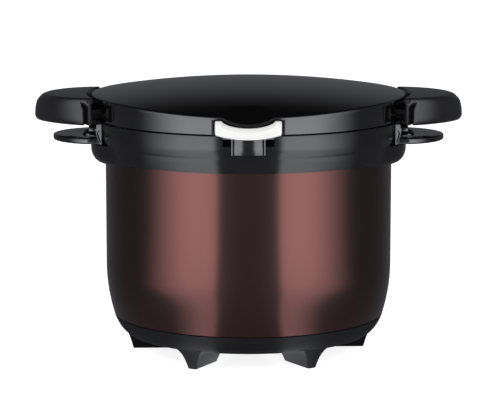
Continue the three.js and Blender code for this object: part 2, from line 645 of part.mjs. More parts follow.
// Carry handles: a flat plate with a finger slot, on a flange that is screwed to the collar
const carryZ = CHIN_TOP_Z + SEAT;
const flangeR = BAND_R + SEAT;
const slotR = flangeR + CARRY_FLANGE_T + CARRY_SLOT_GAP;
const carrySeatR = flangeR + CARRY_FLANGE_T + SEAT;
const carryTipR = carrySeatR - CARRY_SCREW_LEN;
function atCarryScrews(part) {
  return [-1, 1].map((side) => turnZ(part, side * Math.asin(CARRY_SCREW_Y / flangeR))
    .translate([0, 0, carryZ + CARRY_SCREW_Z]));
}
function sector(innerR, outerR, halfDeg, z0, z1) {
  const out = arc(0, 0, outerR, -halfDeg, halfDeg, GRIP_ARC_STEPS * 2);
  const back = arc(0, 0, innerR, halfDeg, -halfDeg, GRIP_ARC_STEPS * 2);
  return slab([...out, ...back], z0, z1);
}
function carryHandle() {
  const endDeg = DEG_PER_RAD * Math.asin(1 - CARRY_SLOT_GAP / CARRY_HALF_W);
  const outline = [
    ...handleOutline(CARRY_REACH, CARRY_HALF_W, CARRY_POWER, endDeg),
    ...concaveEdge(flangeR, CARRY_HALF_W * Math.sin(rad(endDeg))),
  ];
  const plate = slab(outline, carryZ, carryZ + CARRY_PLATE_T);
  const flangeDeg = DEG_PER_RAD * Math.asin(CARRY_HALF_W / flangeR);
  const flange = sector(flangeR, flangeR + CARRY_FLANGE_T, flangeDeg, carryZ, carryZ + CARRY_FLANGE_H);
  const slotDeg = DEG_PER_RAD * Math.asin((CARRY_HALF_W - CARRY_SLOT_END) / (slotR + CARRY_SLOT_W / 2));
  const slot = sector(slotR, slotR + CARRY_SLOT_W, slotDeg, carryZ - OVERRUN,
    carryZ + CARRY_PLATE_T + OVERRUN);
  const holes = atCarryScrews(rod('x', SCREW_R + PIN_PLAY, BAND_R - OVERRUN, carrySeatR + OVERRUN));
  return cut(join(plate, flange), slot, ...holes);
}
add('collar', collar(), GLOSS_BLACK);
add('latch_striker', striker(), STEEL);
add('carry_handle_right', carryHandle(), GLOSS_BLACK);
add('carry_handle_left', mirrored(carryHandle()), GLOSS_BLACK);
const carryScrew = join(rod('x', SCREW_R, carryTipR, carrySeatR + SCREW_HEAD_H / 2),
  rod('x', SCREW_HEAD_R, carrySeatR, carrySeatR + SCREW_HEAD_H));
atCarryScrews(carryScrew).forEach((part, i) => {
  add(`carry_screw_right_${i + 1}`, part, STEEL);
  add(`carry_screw_left_${i + 1}`, mirrored(part), STEEL);
});
add('hinge_pin', rod('x', HINGE_PIN_R, -earOutX - PIN_OVERHANG, earOutX + PIN_OVERHANG,
  [0, hinge.y, hinge.z]), STEEL);

// Lid: the domed cover's rim dips at the front and has a finger scoop over the latch
const FINE_DEG = 3;
const COARSE_DEG = 8;
const SCOOP_FAN_DEG = 12;
const lidAngles = [
  ...spread(-SCOOP_FAN_DEG, SCOOP_FAN_DEG, (2 * SCOOP_FAN_DEG) / FINE_DEG),
  ...spread(SCOOP_FAN_DEG, FULL_DEG - SCOOP_FAN_DEG, (FULL_DEG - 2 * SCOOP_FAN_DEG) / COARSE_DEG).slice(1, -1),
].map((deg) => rad(deg - FULL_DEG / 4));
const domeShares = [0.3, 0.58, 0.8, 0.92];

function coverZ(x, y) {
  const r = Math.hypot(x, y);
  const forward = Math.max(0, -y) / LID_R;
  const across = Math.abs(x) < SCOOP_HALF_W ? Math.cos((x / SCOOP_HALF_W) * QUARTER_TURN) ** 2 : 0;
  const along = smooth((-y - LID_R + SCOOP_LENGTH) / SCOOP_LENGTH);
  const dome = DOME_RISE * (1 - (r / LID_R) ** 2);
  return LID_RIM_Z + dome - FRONT_DIP * forward ** 3 - SCOOP_DEPTH * across * along;
}
function lipThickness(angle) {
  return THREE.MathUtils.lerp(LIP_SIDE_T, LIP_FRONT_T, Math.max(0, -Math.sin(angle)));
}
const lipInR = LID_R - LIP_SIDE_T;

// Points round the lid at one radius, at a depth below the cover's top face
function lidRing(radius, depth) {
  return lidAngles.map((angle) => {
    const [x, y] = [radius * Math.cos(angle), radius * Math.sin(angle)];
    return [x, y, coverZ(x, y) - (typeof depth === 'function' ? depth(angle) : depth)];
  });
}
function lidCoverShell() {
  return skin([
    ...domeShares.map((share) => lidRing(LID_R * share, 0)),
    lidRing(LID_R - LIP_ROUND, 0),
    lidRing(LID_R, LIP_ROUND / 2),
    lidRing(LID_R, lipThickness),
    lidRing(lipInR, (angle) => Math.max(COVER_T, lipThickness(angle))),
    lidRing(lipInR - LIP_ROUND, COVER_T),
    ...domeShares.toReversed().map((share) => lidRing(LID_R * share, COVER_T)),
  ], false, [[0, 0, coverZ(0, 0)], [0, 0, coverZ(0, 0) - COVER_T]]);
}

// Everything above the cover's underside, less a gap: what the pieces below it are cut back by
function aboveCover(gap) {
  const roof = LID_RIM_Z + DOME_RISE + OVERRUN;
  const wide = LID_R + OVERRUN;
  const rim = lidAngles.map((angle) => [wide * Math.cos(angle), wide * Math.sin(angle)]);
  const rimZ = lidRing(LID_R, (angle) => Math.max(COVER_T, lipThickness(angle)) + gap).map(([, , z]) => z);
  return skin([
    ...domeShares.map((share) => lidRing(LID_R * share, COVER_T + gap)),
    lidRing(lipInR - LIP_ROUND - gap, COVER_T + gap),
    lidRing(lipInR - gap, (angle) => Math.max(COVER_T, lipThickness(angle)) + gap),
    rim.map(([x, y], i) => [x, y, rimZ[i]]),
    rim.map(([x, y]) => [x, y, roof]),
  ], false, [[0, 0, coverZ(0, 0) - COVER_T - gap]]);
}

const lidScrewR = PLATE_R - LID_BOSS_INSET;
const atLidScrews = (part) => spread(0, FULL_DEG, LID_SCREW_COUNT).slice(0, LID_SCREW_COUNT)
  .map((deg) => part.translate([lidScrewR, 0, 0]).rotate([0, 0, deg + FULL_DEG / LID_SCREW_COUNT / 2]));
const lidBossZ = FLANGE_Z + FLANGE_T + SEAT;
function lidCover() {
  const bosses = atLidScrews(rod('z', LID_BOSS_R, lidBossZ, LID_RIM_Z + DOME_RISE))
    .map((boss) => boss.subtract(aboveCover(-COVER_T / 2)));
  const holes = atLidScrews(rod('z', SCREW_R + PIN_PLAY, 0, lidBossZ + LID_SCREW_BITE + SEAT));
  return cut(join(lidCoverShell(), ...bosses), ...holes);
}

// Lid skirt: an upright wall with a flange and a curtain inside, recesses for the pot's handles and a latch bay
const latch = { y: -BAND_R - LATCH_PIVOT_SETBACK, z: SEAM_Z + LATCH_PIVOT_H };
const latchWallY = -(BAND_R - LATCH_WALL_INSET);
const wallTopZ = LID_RIM_Z + DOME_RISE;
function lidSkirt() {
  const wall = ring(SKIRT_IN_R, SKIRT_R, SEAM_Z, wallTopZ);
  const flange = ring(SKIRT_IN_R - FLANGE_W, SKIRT_IN_R + SKIRT_T / 2, FLANGE_Z, FLANGE_Z + FLANGE_T);
  const curtain = ring(PLATE_R + SEAT, PLATE_R + SEAT + CURTAIN_T, FLANGE_Z - CURTAIN_H, FLANGE_Z + FLANGE_T);
  const recess = block([-LID_R, -HANDLE_RECESS_HALF_W, SEAM_Z - OVERRUN],
    [LID_R, HANDLE_RECESS_HALF_W, NECK_TOP_Z + RECESS_TOP_GAP]);
  const notch = block([-NOTCH_HALF_W, -LID_R, SEAM_Z - OVERRUN], [NOTCH_HALF_W, 0, wallTopZ]);
  const shell = cut(wall, recess, notch);

  const latchWall = block([-NOTCH_HALF_W - SKIRT_T, latchWallY, SEAM_Z],
    [NOTCH_HALF_W + SKIRT_T, latchWallY + LATCH_WALL_T, FLANGE_Z + FLANGE_T]);
  const sideWall = block([NOTCH_HALF_W, -SKIRT_IN_R, SEAM_Z],
    [NOTCH_HALF_W + LATCH_WALL_T, latchWallY + LATCH_WALL_T, FLANGE_Z + FLANGE_T]);
  const ear = join(
    rod('x', LATCH_EAR_R, LATCH_EAR_X, LATCH_EAR_X + LATCH_EAR_T, [0, latch.y, latch.z]),
    block([LATCH_EAR_X, latch.y, latch.z - LATCH_EAR_R / 2],
      [LATCH_EAR_X + LATCH_EAR_T, latchWallY + LATCH_WALL_T / 2, latch.z + LATCH_EAR_R]));

  const knuckle = rod('x', HINGE_BARREL_R, -KNUCKLE_HALF_W, KNUCKLE_HALF_W, [0, hinge.y, hinge.z],
    ROUND_STEPS / 2);
  const arm = block([-KNUCKLE_HALF_W, SKIRT_IN_R - SKIRT_T, hinge.z - HINGE_ARM_H / 2],
    [KNUCKLE_HALF_W, hinge.y, hinge.z + HINGE_ARM_H / 2]);

  const reach = earOutX + OVERRUN;
  const screwHoles = atLidScrews(rod('z', SCREW_R + PIN_PLAY, 0, wallTopZ));
  return cut(
    join(shell, flange, curtain, latchWall, sideWall, mirrored(sideWall), ear, mirrored(ear), knuckle, arm),
    rod('x', HINGE_PIN_R + PIN_PLAY, -reach, reach, [0, hinge.y, hinge.z]),
    rod('x', LATCH_PIN_R + PIN_PLAY, -NOTCH_HALF_W, NOTCH_HALF_W, [0, latch.y, latch.z]),
    aboveCover(SEAT), ...screwHoles);
}

// Inner plate and the foam over it
function plateTop(r) {
  return PLATE_Z + PLATE_T + CEILING_RISE * (1 - (r / CEILING_R) ** 2);
}
const ceilingRadii = spread(0, CEILING_R, CURVE_STEPS + 1);
function lidPlate() {
  const top = [...ceilingRadii.map((r) => [r, plateTop(r)]), [PLATE_R, PLATE_Z + PLATE_T]];
  const under = top.map(([r, z]) => [r, z - PLATE_T]).reverse();
  return cut(turned([...top, ...under]), ...atLidScrews(rod('z', SCREW_R + PIN_PLAY, 0, wallTopZ)));
}
function lidFoam() {
  const edge = CEILING_R - FOAM_EDGE_GAP;
  const floor = spread(0, edge, CURVE_STEPS + 1).map((r) => [r, plateTop(r) + SEAT * 2]);
  const bossRoom = atLidScrews(rod('z', LID_BOSS_R + SEAT, 0, wallTopZ + OVERRUN));
  return cut(turned([...floor, [edge, wallTopZ], [0, wallTopZ]]), aboveCover(SEAT), ...bossRoom);
}
add('lid_cover', lidCover(), GLOSS_BLACK);
add('lid_skirt', lidSkirt(), GLOSS_BLACK);
add('lid_insulation', lidFoam(), FOAM);
add('lid_plate', lidPlate(), GREY_PLASTIC);
const lidHeadZ = PLATE_Z - SEAT;
const lidScrew = smallScrew(lidBossZ + LID_SCREW_BITE - lidHeadZ).translate([0, 0, lidHeadZ]);
atLidScrews(lidScrew).forEach((part, i) => {
  add(`lid_screw_${i + 1}`, part, STEEL);
});

// Latch: a lever that swings on a pin, the hook below it, and the spring on the pin
const leverR = BAND_R + LATCH_REACH;
const leverBackY = -leverR + LATCH_D;
const hookR = BAND_R + HOOK_REACH;
const hookTopZ = SEAM_Z - HOOK_TOP_DROP;
const lipTopZ = SEAM_Z - HOOK_LIP_TOP;
function leverTopZ(x) {
  const scoopFloor = LID_RIM_Z - FRONT_DIP - SCOOP_DEPTH - LIP_FRONT_T - LATCH_SCOOP_GAP;
  const rise = (1 - Math.cos(Math.PI * Math.min(1, Math.abs(x) / SCOOP_HALF_W))) / 2;
  return THREE.MathUtils.lerp(scoopFloor, SEAM_Z + LATCH_TOP_H, rise);
}
function latchLever() {
  const sections = spread(-LATCH_HALF_W, LATCH_HALF_W, ROUND_STEPS / 2).map((x) => {
    const faceY = -Math.sqrt(leverR ** 2 - x ** 2);
    const bottomZ = SEAM_Z - LATCH_HANG + LATCH_SMILE * (x / LATCH_HALF_W) ** 2;
    const topZ = leverTopZ(x);
    const bevelY = Math.min(leverBackY - LIP_ROUND, faceY + LATCH_BEVEL_D);
    return [
      [x, faceY, bottomZ], [x, faceY, topZ - LATCH_BEVEL_H], [x, bevelY, topZ],
      [x, leverBackY, topZ], [x, leverBackY, bottomZ],
    ];
  });
  const collarR = BAND_R + LATCH_COLLAR_GAP;
  const collarRoom = turned([[0, 0], [collarR, 0], [collarR, SEAM_Z], [0, SEAM_Z]], ROUND_STEPS * 2);
  const eyeR = LATCH_EAR_R + SEAT;
  const earTopZ = latch.z + eyeR + LATCH_EAR_R / 2;
  const earSlot = block([LATCH_EAR_X - HINGE_SIDE_GAP, latch.y - eyeR, 0],
    [LATCH_EAR_X + LATCH_EAR_T + HINGE_SIDE_GAP, 0, earTopZ]);
  const springR = SPRING_COIL_R + SPRING_WIRE_R + SEAT / 2;
  const window = block([-SPRING_WINDOW_HALF_W, latch.y - springR, latch.z - springR],
    [SPRING_WINDOW_HALF_W, 0, latch.z + springR]);
  const bore = rod('x', LATCH_PIN_R + PIN_PLAY, -LATCH_PIN_HALF_L - SEAT, LATCH_PIN_HALF_L + SEAT,
    [0, latch.y, latch.z]);
  const hookRoom = block([-HOOK_HALF_W - SEAT, -hookR - SEAT, 0], [HOOK_HALF_W + SEAT, 0, hookTopZ + SEAT]);
  const floor = ring(slotR, leverR + OVERRUN, 0, hookTopZ - HOOK_DROP, ROUND_STEPS);
  return cut(skin(sections), collarRoom, earSlot, mirrored(earSlot), window, bore, hookRoom, floor);
}
function latchHook() {
  const outer = concaveY(hookR, HOOK_HALF_W);
  const inner = concaveY(hookR - HOOK_T, HOOK_HALF_W).reverse();
  const tab = slab([...outer, ...inner], SEAM_Z - HOOK_DROP, hookTopZ);
  const lipInY = strikerFrontY - STRIKER_NOSE + HOOK_CATCH;
  const lip = block([-HOOK_LIP_HALF_W, -hookR + HOOK_T / 2, lipTopZ - HOOK_LIP_T],
    [HOOK_LIP_HALF_W, lipInY, lipTopZ]);
  return join(tab, lip);
}

// Arc in plan about the vessel's axis, from -X to +X, on the front side
function concaveY(radius, halfWidth, steps = GRIP_ARC_STEPS) {
  return spread(-halfWidth, halfWidth, steps).map((x) => [x, -Math.sqrt(radius ** 2 - x ** 2)]);
}

class Coil extends THREE.Curve {
  getPoint(t, target = new THREE.Vector3()) {
    const angle = t * SPRING_TURNS * 2 * Math.PI;
    return target.set(
      THREE.MathUtils.lerp(-SPRING_HALF_L, SPRING_HALF_L, t),
      latch.y + SPRING_COIL_R * Math.cos(angle),
      latch.z + SPRING_COIL_R * Math.sin(angle));
  }
}
function springSolid() {
  const section = new THREE.Shape(spread(0, 2 * Math.PI, SPRING_SIDES).slice(0, SPRING_SIDES)
    .map((a) => new THREE.Vector2(SPRING_WIRE_R * Math.cos(a), SPRING_WIRE_R * Math.sin(a))));
  return toSolid(new THREE.ExtrudeGeometry(section, {
    steps: SPRING_TURNS * SPRING_TURN_STEPS, extrudePath: new Coil(), bevelEnabled: false,
  }));
}
add('latch_lever', latchLever(), WHITE_PLASTIC);
add('latch_hook', latchHook(), GLOSS_BLACK);
add('latch_pin', rod('x', LATCH_PIN_R, -LATCH_PIN_HALF_L, LATCH_PIN_HALF_L, [0, latch.y, latch.z]), STEEL);
add('latch_spring', springSolid(), STEEL);

// Cooking pot, with a clad base and a seat for its glass lid
const potTopZ = COLLAR_TOP_Z + POT_RIM_H;
const seatZ = potTopZ - POT_SEAT_DROP;
const potFloorZ = INNER_FLOOR_Z + STEEL_WALL + SEAT + POT_DISC_T + SEAT;
const potRimR = POT_R + POT_STEP + POT_WALL;
function pot() {
  const rim = [[POT_R, seatZ - POT_STEP_H], [POT_R + POT_STEP, seatZ], [POT_R + POT_STEP, potTopZ]];
  return cup(POT_R, potFloorZ, POT_CORNER_R, POT_WALL, rim);
}
add('pot_body', pot(), STEEL);
add('pot_base_disc', rod('z', POT_R - POT_DISC_INSET, INNER_FLOOR_Z + STEEL_WALL + SEAT, potFloorZ - SEAT,
  [0, 0, 0], ROUND_STEPS), STEEL);

// Brackets that are welded to the pot and carry its handles out over the collar
const tongueZ = COLLAR_TOP_Z + BRACKET_LIFT;
const legR = potRimR + SEAT;
const gripScrewX = BAND_R + GRIP_SCREW_X;
const atGripScrews = (part) => [-1, 1].map((side) => part.translate([gripScrewX, side * GRIP_SCREW_Y, 0]));
function bracket() {
  const padR = POT_R + POT_WALL + SEAT;
  const footZ = tongueZ - BRACKET_LEG_H;
  const strap = turned([
    [padR, footZ - BRACKET_PAD_H], [padR + BRACKET_T, footZ - BRACKET_PAD_H], [padR + BRACKET_T, footZ],
    [legR + BRACKET_T, footZ], [legR + BRACKET_T, tongueZ], [BAND_R + BRACKET_REACH, tongueZ],
    [BAND_R + BRACKET_REACH, tongueZ + BRACKET_T], [legR, tongueZ + BRACKET_T], [legR, footZ + BRACKET_T],
    [padR, footZ + BRACKET_T],
  ], ROUND_STEPS * 2);
  const width = block([0, -BRACKET_HALF_W, 0], [BAND_R + GRIP_TIP, BRACKET_HALF_W, LID_RIM_Z]);
  const holes = atGripScrews(rod('z', BIG_SCREW_R + PIN_PLAY, 0, LID_RIM_Z));
  return cut(strap.intersect(width), ...holes);
}

// Pot handle: a deep grip, hollow underneath, on a neck that passes through the lid's recess
const gripFootZ = SEAM_Z - GRIP_FOOT_DROP;
const heightShares = [0, 0.18, 0.7, 0.93, 1];
const reachShares = [0.965, 1, 0.967, 0.885, 0.83];
const widthShares = [0.985, 1, 0.99, 0.975, 0.94];
const GRIP_POWERS = [1.5, 1.6, 1.75, 1.88, 1.9]; // exponents of the plan's superellipse, from the foot up
const bossTopZ = gripFootZ + GRIP_H - GRIP_TOP_T / 2;
function grip() {
  const rootR = BAND_R + GRIP_ROOT;
  const lidEdgeR = LID_R + GRIP_LID_GAP;
  const rings = heightShares.map((share, i) => {
    const z = gripFootZ + GRIP_H * share;
    const halfW = GRIP_HALF_W * widthShares[i];
    const outer = handleOutline(GRIP_TIP * reachShares[i], halfW, GRIP_POWERS[i], GRIP_END_DEG);
    const innerR = share > heightShares[2] ? lidEdgeR : rootR;
    const inner = concaveEdge(innerR, outer[outer.length - 1][1] - SEAT);
    return [...outer, ...inner].map(([x, y]) => [x, y, z]);
  });
  const hollowTopZ = gripFootZ + GRIP_H - GRIP_TOP_T;
  const hollowReach = GRIP_TIP * reachShares[0] - GRIP_WALL;
  const hollowOuter = handleOutline(hollowReach, GRIP_HALF_W - GRIP_WALL * 2, GRIP_POWERS[2], HOLLOW_END_DEG);
  const hollowInner = concaveEdge(rootR + GRIP_WALL, hollowOuter[hollowOuter.length - 1][1] - GRIP_WALL / 2);
  const hollow = slab([...hollowOuter, ...hollowInner], gripFootZ - OVERRUN, hollowTopZ);
  const bossX = BAND_R + BRACKET_REACH;
  const boss = block([rootR, -GRIP_BOSS_HALF_W, tongueZ + BRACKET_T + SEAT],
    [bossX, GRIP_BOSS_HALF_W, bossTopZ]);
  const sector = ring(BAND_R - NECK_INSET, rootR + GRIP_WALL / 2, COLLAR_TOP_Z + 2 * SEAT, NECK_TOP_Z);
  const neck = sector.intersect(block([0, -NECK_HALF_W, 0], [rootR * 2, NECK_HALF_W, LID_RIM_Z]));
  const plateInR = BAND_R + BACK_PLATE_GAP;
  const plateHalfW = GRIP_HALF_W - BACK_PLATE_T;
  const backPlate = ring(plateInR, plateInR + BACK_PLATE_T, gripFootZ, NECK_TOP_Z)
    .intersect(block([0, -plateHalfW, 0], [rootR * 2, plateHalfW, LID_RIM_Z]));
  const tongueRoom = block([0, -BRACKET_HALF_W - SEAT, tongueZ - SEAT],
    [BAND_R + BRACKET_REACH + SEAT, BRACKET_HALF_W + SEAT, tongueZ + BRACKET_T + SEAT]);
  const biteTopZ = tongueZ + BRACKET_T + GRIP_SCREW_BITE + SEAT * 2;
  const holes = atGripScrews(rod('z', BIG_SCREW_R + PIN_PLAY, 0, biteTopZ));
  return cut(join(cut(skin(rings), hollow), boss, neck, backPlate), tongueRoom, ...holes);
}
add('pot_bracket_right', bracket(), STEEL);
add('pot_bracket_left', mirrored(bracket()), STEEL);
add('pot_handle_right', grip(), GLOSS_BLACK);
add('pot_handle_left', mirrored(grip()), GLOSS_BLACK);
const gripScrew = bigScrew(BRACKET_T + GRIP_SCREW_BITE + SEAT).translate([0, 0, tongueZ - SEAT]);
atGripScrews(gripScrew).forEach((part, i) => {
  add(`handle_screw_right_${i + 1}`, part, STEEL);
  add(`handle_screw_left_${i + 1}`, mirrored(part), STEEL);
});

// Glass lid of the pot: a steel band, the domed glass, a steam vent and a knob
const bandR = POT_R + POT_STEP - BAND_SIDE_GAP;
const bandZ = seatZ + SEAT;
const glassR = bandR - BAND_T - SEAT;
const glassRimZ = bandZ + BAND_T + SEAT;
const glassUnder = (r) => glassRimZ + GLASS_RISE * (1 - (r / glassR) ** 2);
function glassPane() {
  const under = spread(0, glassR, CURVE_STEPS + 1).map((r) => [r, glassUnder(r)]);
  const over = under.map(([r, z]) => [r, z + GLASS_T]).reverse();
  const ventHole = rod('z', VENT_R + VENT_WALL + PIN_PLAY, 0, LID_RIM_Z, [VENT_X, 0, 0]);
  return cut(turned([...under, ...over]), rod('z', SCREW_R + PIN_PLAY, 0, LID_RIM_Z), ventHole);
}
const glassBand = turned([
  [bandR - BAND_W, bandZ], [bandR, bandZ], [bandR, bandZ + BAND_H], [bandR - BAND_T, bandZ + BAND_H],
  [bandR - BAND_T, bandZ + BAND_T], [bandR - BAND_W, bandZ + BAND_T],
]);
add('glass_lid', glassPane(), GLASS);
add('glass_lid_band', glassBand, STEEL);
const glassTopZ = glassUnder(0) + GLASS_T;
const washerZ = glassTopZ + SEAT;
const knobZ = washerZ + KNOB_WASHER_T + SEAT;
const knobBody = turned([
  [0, knobZ], [KNOB_STEM_R, knobZ], [KNOB_STEM_R, knobZ + KNOB_H - KNOB_HEAD_H],
  [KNOB_R, knobZ + KNOB_H - KNOB_HEAD_H + LIP_ROUND], [KNOB_R, knobZ + KNOB_H - LIP_ROUND],
  [KNOB_R - LIP_ROUND, knobZ + KNOB_H], [0, knobZ + KNOB_H],
], ROUND_STEPS / 2);
const knobScrewZ = glassUnder(0) - SEAT;
const knobHole = rod('z', SCREW_R + PIN_PLAY, 0, knobScrewZ + KNOB_SCREW_LEN + SEAT);
add('knob', cut(knobBody, knobHole), GLOSS_BLACK);
const washer = ring(SCREW_R + PIN_PLAY, KNOB_WASHER_R, washerZ, washerZ + KNOB_WASHER_T, ROUND_STEPS / 2);
add('knob_washer', washer, STEEL);
add('knob_screw', smallScrew(KNOB_SCREW_LEN).translate([0, 0, knobScrewZ]), STEEL);

const ventLow = glassUnder(VENT_X) - 2 * SEAT;
const ventHigh = glassUnder(VENT_X) + GLASS_T + 2 * SEAT;
const ventOutR = VENT_R + VENT_WALL;
const vent = turned([
  [VENT_R, ventLow - VENT_FLANGE_T], [ventOutR + VENT_FLANGE, ventLow - VENT_FLANGE_T],
  [ventOutR + VENT_FLANGE, ventLow], [ventOutR, ventLow], [ventOutR, ventHigh],
  [ventOutR + VENT_FLANGE, ventHigh], [ventOutR + VENT_FLANGE, ventHigh + VENT_FLANGE_T],
  [VENT_R, ventHigh + VENT_FLANGE_T],
], SMALL_STEPS);
add('steam_vent', vent.translate([VENT_X, 0, 0]), STEEL);

export default group;
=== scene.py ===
"""Thermal cooker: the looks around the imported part.

Sizes are in millimetres and degrees, and turn into metres where a mesh is made. The latch faces -Y, the
handles lie along X, and azimuths are counted from the front, so that the right handle is at 90 degrees.
"""

import math

import bmesh
import bpy
from mathutils import Matrix, Vector

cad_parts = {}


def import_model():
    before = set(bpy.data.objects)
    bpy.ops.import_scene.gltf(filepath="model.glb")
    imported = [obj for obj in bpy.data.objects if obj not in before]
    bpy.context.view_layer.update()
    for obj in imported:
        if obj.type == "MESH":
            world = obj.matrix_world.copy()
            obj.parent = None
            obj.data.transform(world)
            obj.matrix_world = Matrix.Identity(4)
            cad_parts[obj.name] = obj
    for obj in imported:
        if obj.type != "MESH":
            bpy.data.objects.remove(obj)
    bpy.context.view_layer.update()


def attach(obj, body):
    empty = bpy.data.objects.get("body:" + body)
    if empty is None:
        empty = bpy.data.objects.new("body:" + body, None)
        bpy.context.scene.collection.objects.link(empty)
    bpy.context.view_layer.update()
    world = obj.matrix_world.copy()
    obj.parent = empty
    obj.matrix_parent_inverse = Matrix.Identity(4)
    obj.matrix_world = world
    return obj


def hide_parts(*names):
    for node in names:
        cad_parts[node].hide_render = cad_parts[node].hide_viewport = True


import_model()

MM = 0.001
FULL_TURN = 360

# Heights of the main steps, from the floor up
SOLE_Z = 10.2
BASE_FLOOR_Z = 12.7
BASE_TOP_Z = 32.0
SHELL_FLOOR_Z = 24.2
WALL_CURVE_Z = 75.0
COLLAR_FOOT_Z = 166.8
CHIN_TOP_Z = 179.4
MOUTH_Z = 184.0
BAND_Z = 187.0
COLLAR_TOP_Z = 197.8
SEAM_Z = 198.3
PLATE_Z = 208.5
LID_RIM_Z = 219.0

# Radii of the main walls
BODY_R = 120.7
COLLAR_FOOT_R = 122.2
BAND_R = 128.0
LID_R = 131.8
INNER_R = 110.2
POT_R = 101.5
SEAT = 0.3  # what neighbouring pieces stay apart

SHARP_DEG = 32  # faces that meet at more than this have a crease between them
SAME_POINT = 0.0005
NEAR_HALF = 0.49  # the most that one rounding takes of a side
CUT_EDGE = 0.01  # cutters have next to no rounding
OVERRUN = 1.0  # how far a cutter sticks out of what it cuts
ROUND_STEPS = 192
FINE_STEPS = 256

# Camera: the photograph's view, nine degrees above the horizon
CAMERA_PLACE = (1.27, -1928.2, 429.9)
CAMERA_TILT = 80.86
CAMERA_LENS = 165.6
CAMERA_SENSOR = 36.0


def lerp(start, end, share):
    return start + (end - start) * share


def spread(start, end, steps):
    """Values at even steps from start to end, both included."""
    return [lerp(start, end, i / steps) for i in range(steps + 1)]


def round_steps(steps):
    """Angles at even steps of a full turn."""
    return [FULL_TURN * i / steps for i in range(steps)]


def smooth(share):
    """0 to 1 with a level start and end."""
    share = min(1, max(0, share))
    return share * share * (3 - 2 * share)


def cos(degrees):
    return math.cos(math.radians(degrees))


def sin(degrees):
    return math.sin(math.radians(degrees))


class Value:
    """A number that changes over a surface: sums and products of it add Math nodes to its finish."""

    def __init__(self, finish, socket):
        self.finish = finish
        self.socket = socket

    def maths(self, operation, *numbers):
        return self.finish.node("Math", {"operation": operation}, dict(enumerate(numbers)))

    def __add__(self, other):
        return self.maths("ADD", self, other)

    def __radd__(self, other):
        return self.maths("ADD", other, self)

    def __sub__(self, other):
        return self.maths("SUBTRACT", self, other)

    def __rsub__(self, other):
        return self.maths("SUBTRACT", other, self)

    def __mul__(self, other):
        return self.maths("MULTIPLY", self, other)

    def __rmul__(self, other):
        return self.maths("MULTIPLY", other, self)

    def __abs__(self):
        return self.maths("ABSOLUTE", self)

    def steps(self, low, high):
        """0 below low, 1 above high, smooth between them; low may be the higher one."""
        return self.finish.node(
            "MapRange", {"interpolation_type": "SMOOTHSTEP"},
            {"Value": self, "From Min": low, "From Max": high, "To Min": 0.0, "To Max": 1.0})


class Nodes:
    """A node tree; node() adds any node and gives one of its outputs."""

    def __init__(self, tree):
        self.tree = tree

    def put(self, socket, value):
        if isinstance(value, Value):
            self.tree.links.new(value.socket, socket)
        else:
            socket.default_value = value

    def node(self, kind, settings=None, sockets=None, output=0):
        node = self.tree.nodes.new("ShaderNode" + kind)
        for name, value in (settings or {}).items():
            setattr(node, name, value)
        for name, value in (sockets or {}).items():
            self.put(node.inputs[name], value)
        return Value(self, node.outputs[output])


class Finish(Nodes):
    """A material and the nodes that make it."""

    def __init__(self, name, colour, roughness, **fixed):
        self.material = bpy.data.materials.new(name)
        self.material.use_nodes = True
        super().__init__(self.material.node_tree)
        self.shader = self.tree.nodes["Principled BSDF"]
        self.set("Base Color", (*colour, 1.0))
        self.set("Roughness", roughness)
        for socket, value in fixed.items():
            self.set(socket.replace("_", " "), value)

    def set(self, socket, value):
        self.put(self.shader.inputs[socket], value)

    def place(self, stretch=(1, 1, 1)):
        """The point on the object, in metres, scaled by stretch along each axis."""
        spot = self.node("TexCoord", output="Object")
        return self.node("Mapping", {}, {"Vector": spot, "Scale": stretch})

    def grain(self, scale, detail=3.0, stretch=(1, 1, 1)):
        """Noise from 0 to 1."""
        return self.node("TexNoise", {}, {"Vector": self.place(stretch), "Scale": scale, "Detail": detail})

    def between(self, share, first, second):
        """The first colour where share is 0, the second where it is 1."""
        return self.node(
            "Mix", {"data_type": "RGBA"},
            {"Factor": share, 6: (*first, 1.0), 7: (*second, 1.0)}, output=2)

    def bumps(self, height, depth, share=1.0):
        """Dents of a real depth in metres, seen in the light only."""
        return self.node("Bump", {}, {"Height": height, "Distance": depth, "Strength": share})


# Finishes, one for each of the record's slots, and one of its own for the collar

BROWN_DEEP = (0.0725, 0.0248, 0.0202)
BROWN_PALE = (0.0842, 0.0288, 0.0238)


def brown_clear_steel():
    """Brushed steel under a clear brown coat: upright brush lines, and a coat that pools a little darker."""
    finish = Finish("brown_clear_steel", BROWN_PALE, 0.27, Metallic=1.0, Coat_Roughness=0.42, Coat_IOR=1.45)
    brushing = finish.grain(900.0, 4.0, (1.0, 1.0, 0.02))
    pooling = finish.grain(9.0, 2.0)
    finish.set("Base Color", finish.between(brushing * 0.5 + pooling * 0.5, BROWN_DEEP, BROWN_PALE))
    finish.set("Roughness", 0.145 + 0.05 * brushing)
    finish.set("Coat Weight", 0.48 + 0.06 * pooling)
    finish.set("Normal", finish.bumps(brushing, 0.00001, 0.15))
    return finish.material


def moulded_black(name, base, roughness, ripple, lacquer, shine=0.5):
    """Moulded black plastic: a slow ripple from the mould and a fine bloom over its gloss."""
    finish = Finish(name, (base, base, base * 1.1), roughness, Coat_IOR=1.5, Coat_Roughness=0.05,
                    Specular_IOR_Level=shine)
    bloom = finish.grain(60.0, 3.0)
    fine = finish.grain(1400.0, 2.0)
    finish.set("Roughness", roughness * 0.85 + roughness * 0.2 * bloom + roughness * 0.1 * fine)
    worn = (base * 1.15, base * 1.15, base * 1.25)
    finish.set("Base Color", finish.between(bloom, (base * 0.85,) * 3, worn))
    finish.set("Coat Weight", lacquer * 0.9 + lacquer * 0.2 * bloom)
    finish.set("Normal", finish.bumps(finish.grain(22.0, 1.0), 0.00012, ripple))
    return finish.material


